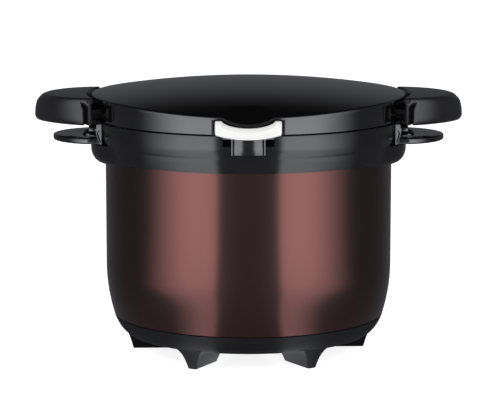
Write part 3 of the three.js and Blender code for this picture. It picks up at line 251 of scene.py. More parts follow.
def satin_black():
    """The base's black: a spark-eroded grain that scatters the light."""
    finish = Finish("satin_black_plastic", (0.010, 0.010, 0.011), 0.5, Specular_IOR_Level=0.18)
    grain = finish.grain(1700.0, 3.0)
    finish.set("Roughness", 0.44 + 0.12 * grain)
    finish.set("Base Color", finish.between(finish.grain(40.0), (0.006, 0.006, 0.007), (0.010, 0.010, 0.011)))
    finish.set("Normal", finish.bumps(grain, 0.00004, 0.35))
    return finish.material


def white_latch():
    """Satin white moulding, a touch warmer in random patches."""
    finish = Finish("white_plastic", (0.93, 0.93, 0.92), 0.3)
    bloom = finish.grain(45.0)
    finish.set("Base Color", finish.between(bloom, (0.93, 0.925, 0.91), (0.94, 0.94, 0.935)))
    finish.set("Roughness", 0.27 + 0.06 * bloom)
    finish.set("Normal", finish.bumps(finish.grain(1500.0), 0.00002, 0.2))
    return finish.material


def grey_inner():
    """Satin grey moulding of the lid's inner plate."""
    finish = Finish("grey_plastic", (0.34, 0.35, 0.36), 0.42)
    bloom = finish.grain(35.0)
    finish.set("Base Color", finish.between(bloom, (0.31, 0.32, 0.33), (0.36, 0.37, 0.38)))
    finish.set("Roughness", 0.38 + 0.08 * bloom)
    finish.set("Normal", finish.bumps(finish.grain(1500.0), 0.00004, 0.3))
    return finish.material


def rigid_foam():
    """Cream foam with closed cells."""
    finish = Finish("foam", (0.86, 0.82, 0.70), 0.85)
    cells = finish.node("TexVoronoi", {}, {"Vector": finish.place(), "Scale": 700.0})
    finish.set("Base Color", finish.between(cells, (0.78, 0.73, 0.60), (0.90, 0.87, 0.77)))
    finish.set("Normal", finish.bumps(cells, 0.0004, 0.7))
    return finish.material


def bright_steel(name, tone, roughness, stretch):
    """Stainless steel with fine lines from brushing or turning."""
    finish = Finish(name, (tone, tone, tone * 0.99), roughness, Metallic=1.0)
    lines = finish.grain(1100.0, 3.0, stretch)
    cloud = finish.grain(25.0)
    finish.set("Base Color", finish.between(cloud, (tone * 0.92,) * 3, (tone, tone, tone * 0.98)))
    finish.set("Roughness", roughness - 0.05 + 0.1 * lines)
    finish.set("Normal", finish.bumps(lines, 0.00001, 0.2))
    return finish.material


def clear_glass():
    """Tempered glass, faintly green, with a little haze from use."""
    finish = Finish("clear_glass", (0.94, 0.98, 0.97), 0.02, IOR=1.5, Transmission_Weight=1.0)
    haze = finish.grain(30.0)
    finish.set("Roughness", 0.01 + 0.04 * haze)
    finish.set("Normal", finish.bumps(finish.grain(12.0, 1.0), 0.0001, 0.2))
    return finish.material


FINISHES = {
    "brown_clear_steel": brown_clear_steel(),
    "black_plastic": moulded_black("black_plastic", 0.004, 0.13, 0.25, 0.5),
    "collar": moulded_black("collar_black", 0.004, 0.15, 0.25, 0.42, 0.36),
    "gloss_black_lid": moulded_black("gloss_black_lid", 0.003, 0.07, 0.3, 0.5),
    "black_phenolic": moulded_black("black_phenolic", 0.014, 0.3, 0.25, 0.45, 0.1),
    "satin_black_plastic": satin_black(),
    "grey_plastic": grey_inner(),
    "white_plastic": white_latch(),
    "foam": rigid_foam(),
    "satin_steel": bright_steel("satin_steel", 0.62, 0.28, (1.0, 1.0, 0.04)),
    "steel_parts": bright_steel("steel_parts", 0.55, 0.3, (1.0, 1.0, 1.0)),
    "clear_glass": clear_glass(),
}


# Meshes


def smooth_shade(mesh):
    """Smooth faces, with a crease where they turn sharply."""
    mesh.shade_smooth()
    mesh.set_sharp_from_angle(angle=math.radians(SHARP_DEG))


def add_object(name, data):
    thing = bpy.data.objects.new(name, data)
    bpy.context.scene.collection.objects.link(thing)
    return thing


def mesh_object(name, bm):
    """A smooth-shaded object from a mesh in millimetres."""
    bmesh.ops.remove_doubles(bm, verts=bm.verts, dist=SAME_POINT)
    bmesh.ops.recalc_face_normals(bm, faces=bm.faces)
    bmesh.ops.scale(bm, vec=(MM, MM, MM), verts=bm.verts)
    mesh = bpy.data.meshes.new(name)
    bm.to_mesh(mesh)
    bm.free()
    smooth_shade(mesh)
    return add_object(name, mesh)


def skin(name, rings, ring_closed=True, path_closed=False):
    """Joins rings of as many points each; a path that isn't closed has its first and last ring filled."""
    bm = bmesh.new()
    grid = [[bm.verts.new(point) for point in ring] for ring in rings]
    count = len(grid[0])
    for row in range(len(grid) if path_closed else len(grid) - 1):
        here, there = grid[row], grid[(row + 1) % len(grid)]
        for column in range(count if ring_closed else count - 1):
            after = (column + 1) % count
            bm.faces.new((here[column], here[after], there[after], there[column]))
    if not path_closed:
        bm.faces.new(list(reversed(grid[0])))
        bm.faces.new(grid[-1])
    return mesh_object(name, bm)


def bent(start, pull, end, steps):
    """Points of a curve that leaves start and reaches end along its lines to pull."""
    start, pull, end = Vector(start), Vector(pull), Vector(end)
    return [start * (1 - t) ** 2 + pull * (2 * t * (1 - t)) + end * t ** 2 for t in spread(0, 1, steps)]


def rounded(points, radii, closed=True, steps=4):
    """The flat outline through the points, with each corner rounded to its radius."""
    outline = []
    count = len(points)
    for index, corner in enumerate(points):
        radius = radii[index] if isinstance(radii, (list, tuple)) else radii
        here = Vector(corner)
        if radius == 0 or (not closed and index in (0, count - 1)):
            outline.append(here)
            continue
        back = Vector(points[index - 1]) - here
        ahead = Vector(points[(index + 1) % count]) - here
        most = min(back.length, ahead.length) * NEAR_HALF
        reach = min(radius / math.tan(back.angle(ahead) / 2), most)
        outline += bent(here + back.normalized() * reach, here, here + ahead.normalized() * reach, steps)
    return outline


def turned(name, profile, steps=ROUND_STEPS, closed=True, centre=(0, 0)):
    """A piece turned about an upright axis; a profile that isn't closed begins and ends on the axis."""
    rings = [[(centre[0] + r * cos(a), centre[1] + r * sin(a), z) for r, z in profile]
             for a in round_steps(steps)]
    return skin(name, rings, closed, path_closed=True)


def dress(piece, body, slot, node):
    """The piece rides on its body, has its node's or its slot's finish and stands for the node."""
    piece.data.materials.clear()
    piece.data.materials.append(FINISHES.get(node, FINISHES[slot]))
    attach(piece, body)
    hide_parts(node)


# Studio: two soft boxes at the front, a white floor, and dark flags that only reflections see

WHITE_GLOW = 0.85  # what the floor adds for the camera, so that it stays white in the object's faint shadow
FLOOR_HALF_W = 9000
FILL = 0.355
BOX_AZIMUTHS = (-40, 40)
BOX_DISTANCE = 1500
BOX_HEIGHT = 900
BOX_SIZE = (700, 1100)
BOX_POWER = 10.6
BOX_AIM_Z = 102
FLAG_NEAR = 30.0  # inner edge of the dark floor sheet, under the object
FLAG_R = 800.0
FLAG_H = 1500.0
FLAG_CORNER_R = 60.0

# How the flags glow: azimuths in degrees, radii and heights in metres
BOX_GLOW = 3.3
BOX_EDGES = (20, 25, 40, 86)  # azimuths: the glow rises between the first two and fades between the last two
NEAR_RADII = (0.40, 0.13)  # from the first to the second, the floor sheet becomes near to the object
NEAR_SQUEEZE = (0.25, 0.9)  # how much closer to the front the glow's two edges are there
SHEET_RADII = (0.1, 0.7)  # where the glow grows to its full strength
SHEET_GLOW = 0.46  # and its share before that
GLOW_HEIGHTS = (1.2, 0.0)  # where it grows, from the top down
TOP_GLOW = 0.1  # and its share at the top
SURROUND_FRONT = 0.23
SURROUND_BACK = (0.004, 0.095)  # high up, and near the floor
BACK_HEIGHTS = (0.92, 0.40)  # where the one turns into the other
FRONT_AZIMUTHS = (120, 20)  # where the back turns into the front
WINDOW_TINT = {"Red": 0.97, "Green": 0.985, "Blue": 1.05}


def seen_directly(nodes):
    """1 for rays from the camera, a mirror or glass, 0 for the light that falls on things."""
    camera_ray, glossy_ray, glass_ray = (
        nodes.node("LightPath", output=f"Is {kind} Ray") for kind in ("Camera", "Glossy", "Transmission"))
    return camera_ray.maths("MAXIMUM", camera_ray, glossy_ray.maths("MAXIMUM", glossy_ray, glass_ray))


def camera():
    data = bpy.data.cameras.new("camera")
    data.lens = CAMERA_LENS
    data.sensor_width = CAMERA_SENSOR
    data.clip_end = 50
    eye = add_object("camera", data)
    eye.location = Vector(CAMERA_PLACE) * MM
    eye.rotation_euler = (math.radians(CAMERA_TILT), 0, 0)
    bpy.context.scene.camera = eye


def world():
    """White where it is seen, plain grey as light."""
    sky = bpy.data.worlds.new("white_room")
    sky.use_nodes = True
    bpy.context.scene.world = sky
    nodes = Nodes(sky.node_tree)
    background = nodes.tree.nodes["Background"]
    nodes.put(background.inputs["Color"], (1, 1, 1, 1))
    nodes.put(background.inputs["Strength"], FILL + (1 - FILL) * seen_directly(nodes))


def floor():
    finish = Finish("white_floor", (0.8, 0.8, 0.8), 0.9, Emission_Strength=WHITE_GLOW)
    finish.set("Emission Color", finish.between(seen_directly(finish), (0, 0, 0), (1, 1, 1)))
    bm = bmesh.new()
    corners = [(-FLOOR_HALF_W, -FLOOR_HALF_W), (FLOOR_HALF_W, -FLOOR_HALF_W),
               (FLOOR_HALF_W, FLOOR_HALF_W), (-FLOOR_HALF_W, FLOOR_HALF_W)]
    bm.faces.new([bm.verts.new((x, y, 0)) for x, y in corners])
    sheet = mesh_object("floor", bm)
    sheet.data.materials.append(finish.material)


def window_glow(azimuth, radius, z):
    """The two windows: 1 where they are brightest, 0 outside them."""
    inner, full, fade, out = BOX_EDGES
    near = radius.steps(*NEAR_RADII)
    inner_squeeze, outer_squeeze = (1.0 + squeeze * near for squeeze in NEAR_SQUEEZE)
    window = (azimuth * inner_squeeze).steps(inner, full) * (azimuth * outer_squeeze).steps(out, fade)
    sheet = SHEET_GLOW + (1 - SHEET_GLOW) * radius.steps(*SHEET_RADII)
    return window * sheet * (TOP_GLOW + (1 - TOP_GLOW) * z.steps(*GLOW_HEIGHTS))


def flags():
    """A drum of dark cloth with two glowing windows, as the object's gloss sees the studio."""
    finish = Finish("studio_reflections", (0, 0, 0), 1.0, Emission_Strength=1.0, Specular_IOR_Level=0.0)
    spot = finish.node("NewGeometry", output="Position")
    x, y, z = (finish.node("SeparateXYZ", {}, {"Vector": spot}, output=axis) for axis in range(3))
    across, squared = abs(x), x * x + y * y
    azimuth = across.maths("ARCTAN2", across, 0.0 - y) * math.degrees(1)
    radius = squared.maths("SQRT", squared)
    high, low = SURROUND_BACK
    back = high + (low - high) * z.steps(*BACK_HEIGHTS)
    surround = back + (SURROUND_FRONT - back) * azimuth.steps(*FRONT_AZIMUTHS)
    glow = surround + BOX_GLOW * window_glow(azimuth, radius, z)
    tinted = {channel: glow * tint for channel, tint in WINDOW_TINT.items()}
    finish.set("Emission Color", finish.node("CombineColor", {}, tinted))
    profile = rounded([(FLAG_NEAR, 1), (FLAG_R, 1), (FLAG_R, FLAG_H), (1, FLAG_H)], FLAG_CORNER_R,
                      closed=False, steps=8)
    drum = turned("studio_flags", profile, 96, closed=False)
    drum.data.materials.append(finish.material)
    for seen_by in ("visible_camera", "visible_diffuse", "visible_transmission", "visible_shadow",
                    "visible_volume_scatter"):
        setattr(drum, seen_by, False)


def soft_boxes():
    for azimuth in BOX_AZIMUTHS:
        data = bpy.data.lights.new("soft_box", "AREA")
        data.shape = "RECTANGLE"
        data.size, data.size_y = (edge * MM for edge in BOX_SIZE)
        data.energy = BOX_POWER
        lamp = add_object("soft_box", data)
        lamp.location = Vector((BOX_DISTANCE * sin(azimuth), -BOX_DISTANCE * cos(azimuth), BOX_HEIGHT)) * MM
        aim = Vector((0, 0, BOX_AIM_Z)) * MM - lamp.location
        lamp.rotation_euler = aim.to_track_quat("-Z", "Y").to_euler()
        lamp.visible_glossy = False


camera()
world()
floor()
flags()
soft_boxes()
bpy.context.scene.view_settings.view_transform = "Standard"


# Shapes that several pieces share


def edge_arc(radius, angles):
    """A rounded edge's (inset, rise) at angles from the face, at 0, to the side, at 90."""
    return [(radius * (1 - sin(a)), radius * (1 - cos(a))) for a in angles]


def rings_at(outline, levels):
    """The flat outline at each level's height, drawn in by the level's inset."""
    count = len(outline)
    points = [Vector(point) for point in outline]
    turn = sum(points[i - 1].cross(points[i]) for i in range(count))
    inward = []
    for i in range(count):
        along = points[(i + 1) % count] - points[i - 1]
        normal = Vector((-along.y, along.x)) if turn > 0 else Vector((along.y, -along.x))
        inward.append(normal.normalized())
    return [[(*(point + inset * normal), height) for point, normal in zip(points, inward)]
            for inset, height in levels]


def plate(name, outline, low, high, edge=0.4, axis="z", steps=3):
    """A flat outline given a thickness along Z or X, with its two faces' edges rounded."""
    edge = min(edge, (high - low) * NEAR_HALF)
    levels = [(inset, low + rise) for inset, rise in edge_arc(edge, spread(0, 90, steps))]
    levels += [(inset, high - (level - low)) for inset, level in reversed(levels)]
    rings = rings_at(outline, levels)
    if axis == "x":
        rings = [[(w, u, v) for u, v, w in ring] for ring in rings]
    return skin(name, rings)


def box(name, lowest, highest, corner=0.6, edge=0.3, axis="z"):
    """A block with rounded corners, seen along Z or X, and rounded edges on its two faces."""
    order = (0, 1, 2) if axis == "z" else (1, 2, 0)
    (u0, v0, w0), (u1, v1, w1) = ([place[i] for i in order] for place in (lowest, highest))
    outline = rounded([(u0, v0), (u1, v0), (u1, v1), (u0, v1)], corner)
    return plate(name, outline, w0, w1, edge, axis)


def rod(name, radius, start, end, axis="z", centre=(0, 0), edge=0.2, steps=32):
    """A round bar along an axis; centre gives its place across that axis."""
    outline = [(centre[0] + radius * cos(a), centre[1] + radius * sin(a)) for a in round_steps(steps)]
    return plate(name, outline, start, end, edge, axis)


def bore(radius, start, end, axis="z", centre=(0, 0)):
    """A cutter for a round hole."""
    return rod("bore", radius, start, end, axis, centre, CUT_EDGE)


def fused(piece, others, operation="UNION"):
    """The piece with the others joined to it, or cut out of it; the others are used up."""
    for other in others:
        step = piece.modifiers.new("fuse", "BOOLEAN")
        step.operation = operation
        step.solver = "MANIFOLD"
        step.object = other
    bpy.context.view_layer.update()
    shaped = piece.evaluated_get(bpy.context.evaluated_depsgraph_get())
    mesh = bpy.data.meshes.new_from_object(shaped)
    piece.modifiers.clear()
    piece.data = mesh
    smooth_shade(mesh)
    for other in others:
        bpy.data.objects.remove(other)
    return piece


def cut_out(piece, others):
    return fused(piece, others, "DIFFERENCE")


def mirrored(piece, name):
    """The same piece on the other side of the middle."""
    mesh = piece.data.copy()
    mesh.transform(Matrix.Scale(-1, 4, (1, 0, 0)))
    mesh.flip_normals()
    return add_object(name, mesh)


def turned_to(piece, degrees):
    """The piece turned about the vessel's axis."""
    piece.data.transform(Matrix.Rotation(math.radians(degrees), 4, "Z"))
    return piece


def plan_arc(radius, half_width, steps=24):
    """The vessel's round in plan, from -half_width to half_width across the front, as (x, y)."""
    end = math.degrees(math.asin(half_width / radius))
    return [(radius * sin(a), -radius * cos(a)) for a in spread(-end, end, steps)]


def side_arc(radius, half_width, steps=24):
    """The same round at the right side, from +half_width to -half_width along Y, as (x, y)."""
    return [(-y, -x) for x, y in plan_arc(radius, half_width, steps)]


def around(section, azimuth):
    """An outline in (radius, height), set upright at an azimuth."""
    return [(r * sin(azimuth), -r * cos(azimuth), z) for r, z in section]


def swept(name, section, azimuths):
    """A closed outline in (radius, height) carried round the vessel's axis between azimuths."""
    return skin(name, [around(section, azimuth) for azimuth in azimuths])


def arc(centre, radii, start, end, steps=8):
    """Points of an arc between two angles; radii is its radius, or an ellipse's two."""
    across, up = radii if isinstance(radii, tuple) else (radii, radii)
    return [(centre[0] + across * cos(a), centre[1] + up * sin(a)) for a in spread(start, end, steps)]


WALL_CURVE_R = 145.0


def wall_radius(z):
    """The steel wall: upright, and drawn in by an arc towards the base."""
    below = max(0, WALL_CURVE_Z - z)
    return BODY_R - (WALL_CURVE_R - math.sqrt(WALL_CURVE_R ** 2 - below ** 2))


# Base cover: a dished tray on six ribs, turned a little against the handles

BASE_WALL = 2.2
BASE_PAD_R = 71.0  # the sole is level inside this radius, and rises outside it
BASE_PAD_ROUND = (3.0, 0.35)  # how far the soft bend after the pad goes out and up
BASE_RISE = (102.6, 16.3)  # radius and height where the rising sole ends
BASE_RISE_ROUND = (103.6, 16.6)
BASE_EDGE = (104.3, 17.2)  # radius and height of the lower edge
BASE_BELLY = (110.4, 21.4)  # where the wall's curve is drawn towards
BASE_RIM_ROUND = 0.4
BASE_LINING_RISE = 1.9  # how much higher the lining's points are than the wall's, at the lower edge
BASE_LINING_FALL = 0.15  # and how much this falls at each next point
BASE_FLOOR_EDGE = (101.0, 18.8)
BASE_FLOOR_BEND = ((5.0, 0.4), (2.0, 0.0))  # how far out and up from the pad's own edge the floor's bend is
FOOT_COUNT = 6
FOOT_TURN = 2
FOOT_TIP = (63.0, 98.4, 7.6)  # inner radius, outer radius and width where it stands
FOOT_GROWTH = (-8.4, 4.4, 8.8)  # how much these grow up to the root
FOOT_FLARE = (0, 1.5, 8.0)  # and what the flare at the root adds
FOOT_ROOT_Z = 17.3
FOOT_TREAD_R = 0.9
FOOT_CORNER_R = 1.3
FOOT_SINK = 2.0  # how far its inner end goes into the sole
BASE_SCREW_TURNS = (0, 120, 240)
BASE_SCREW_R = 72.0
BASE_SCREW_SINK = 5.5
BASE_WELL_R = 4.6
BASE_BOSS_R = 7.5
BASE_BOSS_TOP_Z = 20.6


def sole_radius(z):
    """Radius at which the rising sole reaches a height."""
    return lerp(BASE_PAD_R, BASE_RISE[0], (z - SOLE_Z) / (BASE_RISE[1] - SOLE_Z))


def foot(index):
    """One rib: it widens upwards into the sole, with soft corners and a rounded tread."""
    rings = []
    levels = edge_arc(FOOT_TREAD_R, spread(0, 90, 4))
    levels += [(0, z) for z in spread(FOOT_TREAD_R, FOOT_ROOT_Z, 12)[1:]]
    for inset, z in levels:
        share = z / FOOT_ROOT_Z
        inner, outer, width = (tip + growth * share + flare * share ** 4
                               for tip, growth, flare in zip(FOOT_TIP, FOOT_GROWTH, FOOT_FLARE))
        if z > SOLE_Z:
            inner = sole_radius(min(z, BASE_RISE[1])) - FOOT_SINK
        inner, outer, half = inner + inset, outer - inset, width / 2 - inset
        corners = [(-half, -outer), (half, -outer), (half, -inner), (-half, -inner)]
        rings.append([(x, y, z) for x, y in rounded(corners, FOOT_CORNER_R, steps=3)])
    spoke = skin(f"foot_{index}", rings)
    return turned_to(spoke, FOOT_TURN + FULL_TURN * (index + 0.5) / FOOT_COUNT)


def base_cover():
    top_r = wall_radius(BASE_TOP_Z)
    bend_out, bend_up = BASE_PAD_ROUND
    sole = [(0, SOLE_Z), (BASE_PAD_R, SOLE_Z), (BASE_PAD_R + bend_out, SOLE_Z + bend_up), BASE_RISE,
            BASE_RISE_ROUND]
    wall = bent(BASE_EDGE, BASE_BELLY, (top_r, BASE_TOP_Z - BASE_RIM_ROUND), 10)
    lining = [(r - BASE_WALL, z + BASE_LINING_RISE - BASE_LINING_FALL * i) for i, (r, z) in enumerate(wall)]
    floor_top = [BASE_FLOOR_EDGE, *[(BASE_PAD_R + out, BASE_FLOOR_Z + up) for out, up in BASE_FLOOR_BEND],
                 (0, BASE_FLOOR_Z)]
    rim = [(top_r - BASE_RIM_ROUND, BASE_TOP_Z), (top_r - BASE_WALL, BASE_TOP_Z)]
    tray = turned("base_cover", [*sole, *wall, *rim, *reversed(lining[:-1]), *floor_top], closed=False)
    extras = [foot(index) for index in range(FOOT_COUNT)]
    wells = []
    centre = (0, -BASE_SCREW_R)
    for turn in BASE_SCREW_TURNS:
        boss = rod("boss", BASE_BOSS_R, BASE_FLOOR_Z - OVERRUN, BASE_BOSS_TOP_Z, centre=centre)
        well = bore(BASE_WELL_R, SOLE_Z - OVERRUN, SOLE_Z + BASE_SCREW_SINK, centre=centre)
        hole = bore(SCREW_HOLE_R, SOLE_Z, BASE_BOSS_TOP_Z + OVERRUN, centre=centre)
        extras.append(turned_to(boss, turn + FOOT_TURN))
        wells += [turned_to(cutter, turn + FOOT_TURN) for cutter in (well, hole)]
    dress(cut_out(fused(tray, extras), wells), "vessel", "satin_black_plastic", "base_cover")


# Steel vessel

SHELL_INSET = 3.7  # the steel is drawn in where the base wraps it
SHELL_CORNER_R = 8.0
SHOULDER_R = 8.0
STEEL_WALL = 1.0
INNER_FLOOR_Z = 39.0
INNER_CORNER_R = 24.0


def outer_steel():
    entry = wall_radius(BASE_TOP_Z) - SHELL_INSET
    neck = INNER_R + STEEL_WALL + SEAT
    corner = (entry - SHELL_CORNER_R, SHELL_FLOOR_Z + SHELL_CORNER_R)
    outside = [
        (0, SHELL_FLOOR_Z), *arc(corner, SHELL_CORNER_R, -90, 0),
        (entry, BASE_TOP_Z + 0.2), (wall_radius(BASE_TOP_Z) - 0.5, BASE_TOP_Z + SEAT),
        *[(wall_radius(z), z) for z in spread(BASE_TOP_Z + 0.8, MOUTH_Z - SHOULDER_R, 24)],
        *arc((neck + 1, MOUTH_Z - SHOULDER_R), (BODY_R - neck - 1, SHOULDER_R), 0, 90)[1:],
        (neck, MOUTH_Z),
    ]
    inside = [(max(0, r - STEEL_WALL), min(z, MOUTH_Z - STEEL_WALL)) for r, z in outside[1:-1]]
    inside = [(r, z + STEEL_WALL if z < BASE_TOP_Z else z) for r, z in inside]
    profile = [*outside, (neck, MOUTH_Z - STEEL_WALL), *reversed(inside), (0, SHELL_FLOOR_Z + STEEL_WALL)]
    shell = turned("vessel_outer_steel", profile, FINE_STEPS, closed=False)
    dress(shell, "vessel", "brown_clear_steel", "vessel_outer_shell")


def inner_steel():
    mouth = [(INNER_R + STEEL_WALL, MOUTH_Z), (INNER_R + 0.5, MOUTH_Z + 0.15), (INNER_R, MOUTH_Z)]
    centre = (INNER_R - INNER_CORNER_R, INNER_FLOOR_Z + STEEL_WALL + INNER_CORNER_R)
    under = arc(centre, INNER_CORNER_R + STEEL_WALL, -90, 0, 12)
    over = arc(centre, INNER_CORNER_R, 0, -90, 12)
    profile = [(0, INNER_FLOOR_Z), *under, *mouth, *over, (0, INNER_FLOOR_Z + STEEL_WALL)]
    cup = turned("vessel_inner_steel", profile, closed=False)
    dress(cup, "vessel", "satin_steel", "vessel_inner_shell")


# Collar: it hangs lower and swells to a chin under each carry handle

CHIN_DROP = 5.5
CHIN_DROP_SPREAD = 55
CHIN_BULGE = 4.8
CHIN_FLAT = 10
CHIN_SPREAD = 30
CHIN_ROUND_H = 7.3
# Points of its top edge: how far below the top, the depth whose taper the point takes, and how far in
CHIN_EDGE = ((2, 2, 0), (0.6, 0.8, 0.4), (0.15, 0.2, 1.4))
BAND_EDGE = (0.05, 0.6, 0.4)  # the soft edge under the band: how far in and below it starts, and ends above
BAND_ROUND = 0.9
MOUTH_ROUND = 1.2
COLLAR_FOOT_ROUND = ((0.0, 0.5), (0.3, 0.05))  # out from the shell, and up
COLLAR_STEPS = 360
POCKET_HALF_W = 20.5
POCKET_R = 120.4
POCKET_Z = 189.4
POCKET_LEAN = 3.2  # the pocket's back leans forward by this at the collar's top
STRIKER_HALF_W = 23.0
STRIKER_Y = (-124.4, -121.0)
STRIKER_Z = (194.8, 197.2)
NOSE_HALF_W = 14.0
NOSE_Y = (-127.0, -121.4)
HINGE_Y = 131.0
HINGE_Z = 203.0
HINGE_BARREL_R = 4.2
HINGE_PIN_R = 2.0
HINGE_PIN_HALF_L = 27.0
HINGE_BORE_R = 2.2
HINGE_EAR_IN_X = 18.6
HINGE_EAR_OUT_X = 26.0
HINGE_EAR_IN_Y = 118.5
HINGE_EAR_DROP = (12.0, 3.0)  # how far it reaches down the collar, against the band and at its back


def collar_section(azimuth):
    """The collar's outline in (radius, height) at an azimuth from the front."""
    side = abs((azimuth % 180) - 90)
    drop = CHIN_DROP * (1 - smooth(side / CHIN_DROP_SPREAD))
    chin = 1 - smooth((side - CHIN_FLAT) / (CHIN_SPREAD - CHIN_FLAT))
    foot_z = COLLAR_FOOT_Z - drop
    chin_r = BAND_R + CHIN_BULGE

    def taper(z):
        return lerp(COLLAR_FOOT_R, BAND_R, (z - foot_z) / (BAND_Z - foot_z))

    face = []
    for a in range(0, 91, 6):
        z = foot_z + (CHIN_ROUND_H + drop) * (1 - cos(a))
        face.append((lerp(taper(z), COLLAR_FOOT_R + (chin_r - COLLAR_FOOT_R) * sin(a), chin), z))
    edge = [(lerp(taper(CHIN_TOP_Z - taper_depth), chin_r - inset, chin), CHIN_TOP_Z - depth)
            for depth, taper_depth, inset in CHIN_EDGE]
    band_in, band_low, band_high = BAND_EDGE
    rise = zip(spread(taper(CHIN_TOP_Z), BAND_R - band_in, 3), spread(CHIN_TOP_Z, BAND_Z - band_low, 3))
    band = arc((BAND_R - BAND_ROUND, COLLAR_TOP_Z - BAND_ROUND), BAND_ROUND, 0, 90, 4)
    mouth = arc((INNER_R + MOUTH_ROUND, COLLAR_TOP_Z - MOUTH_ROUND), MOUTH_ROUND, 90, 180, 4)
    neck = INNER_R + STEEL_WALL + 2 * SEAT + STEEL_WALL
    shoulder = arc((neck, MOUTH_Z + SEAT - SHOULDER_R), (BODY_R + SEAT - neck, SHOULDER_R), 90, 0)
    inner_foot = [(BODY_R + SEAT + out, foot_z + up) for out, up in COLLAR_FOOT_ROUND]
    return [*face, *edge, *rise, (BAND_R, BAND_Z + band_high), *band, *mouth, (INNER_R, MOUTH_Z + SEAT),
            *shoulder, *inner_foot]


def hinge_ear(side):
    """An ear on the collar's back that carries the hinge pin."""
    back, front, seat = HINGE_Y + HINGE_BARREL_R, HINGE_Y - HINGE_BARREL_R, COLLAR_TOP_Z - SEAT
    barrel = arc((HINGE_Y, HINGE_Z), HINGE_BARREL_R, 0, 180, 15)
    band_foot, heel = (COLLAR_TOP_Z - drop for drop in HINGE_EAR_DROP)
    outline = [*barrel, (front, seat), (HINGE_EAR_IN_Y, seat), (HINGE_EAR_IN_Y, band_foot),
               (BAND_R, band_foot), (back, heel)]
    low, high = (HINGE_EAR_IN_X, HINGE_EAR_OUT_X) if side > 0 else (-HINGE_EAR_OUT_X, -HINGE_EAR_IN_X)
    return plate("ear", outline, low, high, 0.6, "x")


def hinge_bore():
    """A cutter through the hinge's ears and its knuckle."""
    return bore(HINGE_BORE_R, -HINGE_EAR_OUT_X - OVERRUN, HINGE_EAR_OUT_X + OVERRUN, "x", (HINGE_Y, HINGE_Z))


def collar():
    rings = [around(collar_section(azimuth), azimuth) for azimuth in round_steps(COLLAR_STEPS)]
    ring = fused(skin("collar", rings, path_closed=True), [hinge_ear(1), hinge_ear(-1)])
    front_y = -BAND_R - 6
    levels = ((POCKET_Z, POCKET_R), (COLLAR_TOP_Z, POCKET_R + POCKET_LEAN), (COLLAR_TOP_Z + 3, POCKET_R + 4))
    rings = []
    for z, radius in levels:
        outline = [(-POCKET_HALF_W, front_y), *plan_arc(radius, POCKET_HALF_W), (POCKET_HALF_W, front_y)]
        rings.append([(x, y, z) for x, y in outline])
    slot = box("striker_slot", (-STRIKER_HALF_W - SEAT, STRIKER_Y[0] - SEAT, STRIKER_Z[0] - SEAT),
               (STRIKER_HALF_W + SEAT, STRIKER_Y[1] + SEAT, COLLAR_TOP_Z + OVERRUN), 0.1, CUT_EDGE)
    dress(cut_out(ring, [skin("pocket", rings), slot, hinge_bore()]), "vessel", "black_plastic", "collar")


def striker():
    """The bent plate in the collar's pocket that the hook catches."""
    (front, back), (low, high) = STRIKER_Y, STRIKER_Z
    bar = box("latch_striker", (-STRIKER_HALF_W, front, low), (STRIKER_HALF_W, back, high), 0.5)
    nose = box("nose", (-NOSE_HALF_W, NOSE_Y[0], low), (NOSE_HALF_W, NOSE_Y[1], high), 1.0)
    dress(fused(bar, [nose]), "vessel", "steel_parts", "latch_striker")


# Screws: flat heads with a cross recess

SCREW_R = 1.6
SCREW_HOLE_R = 1.8
SCREW_HEAD_R = 3.4
SCREW_HEAD_H = 2.0
SCREW_CROWN = 0.35
SCREW_PITCH = 0.9
SCREW_ROOT = 0.82  # the thread's inner radius, as a share of the outer one
SCREW_TIP_L = 0.8
SCREW_VALLEY = 0.45  # where the thread's root is in a turn
CROSS_SHARES = (0.55, 0.13, 0.55)  # the recess's reach, half width and depth, in the head's radius and height


def screw(name, length, shank=SCREW_R, head_r=SCREW_HEAD_R, head_h=SCREW_HEAD_H):
    """Upright, with its head's face on z 0 and its tip at length: the recess is cut into the face."""
    run = length - head_h - 2
    turns = max(4, int(run / SCREW_PITCH))
    thread = []
    for turn in range(turns):
        z = head_h + 1 + turn * run / turns
        thread += [(shank, z), (shank * SCREW_ROOT, z + SCREW_VALLEY * run / turns)]
    head = [(0, 0), (head_r * 0.6, 0.05), (head_r - SCREW_CROWN, SCREW_CROWN * 0.6),
            (head_r, SCREW_CROWN * 1.6), (head_r, head_h), (shank, head_h)]
    tip = [(shank * 0.8, length - SCREW_TIP_L), (shank * 0.4, length), (0, length)]
    body = turned(name, [*head, *thread, *tip], 24, closed=False)
    arm, blade, depth = (share * size for share, size in zip(CROSS_SHARES, (head_r, head_r, head_h)))
    across = box("arm_across", (-arm, -blade, -OVERRUN), (arm, blade, depth), 0.1, CUT_EDGE)
    along = box("arm_along", (-blade, -arm, -OVERRUN), (blade, arm, depth), 0.1, CUT_EDGE)
    return cut_out(body, [across, along])


def set_at(piece, place, axis="z"):
    """Puts a screw's head at a place: its tip points along +Z, or along -X."""
    turn = Matrix.Identity(4) if axis == "z" else Matrix.Rotation(math.radians(-90), 4, "Y")
    piece.data.transform(Matrix.Translation(Vector(place) * MM) @ turn)
    return piece


def base_fixings():
    for index, turn in enumerate(BASE_SCREW_TURNS):
        name = f"base_screw_{index + 1}"
        piece = set_at(screw(name, 8.6, head_r=4.0), (0, -BASE_SCREW_R, SOLE_Z + BASE_SCREW_SINK))
        dress(turned_to(piece, turn + FOOT_TURN), "vessel", "steel_parts", name)


# Carry handles: a flat plate with a finger slot, on a flange that is screwed to the collar

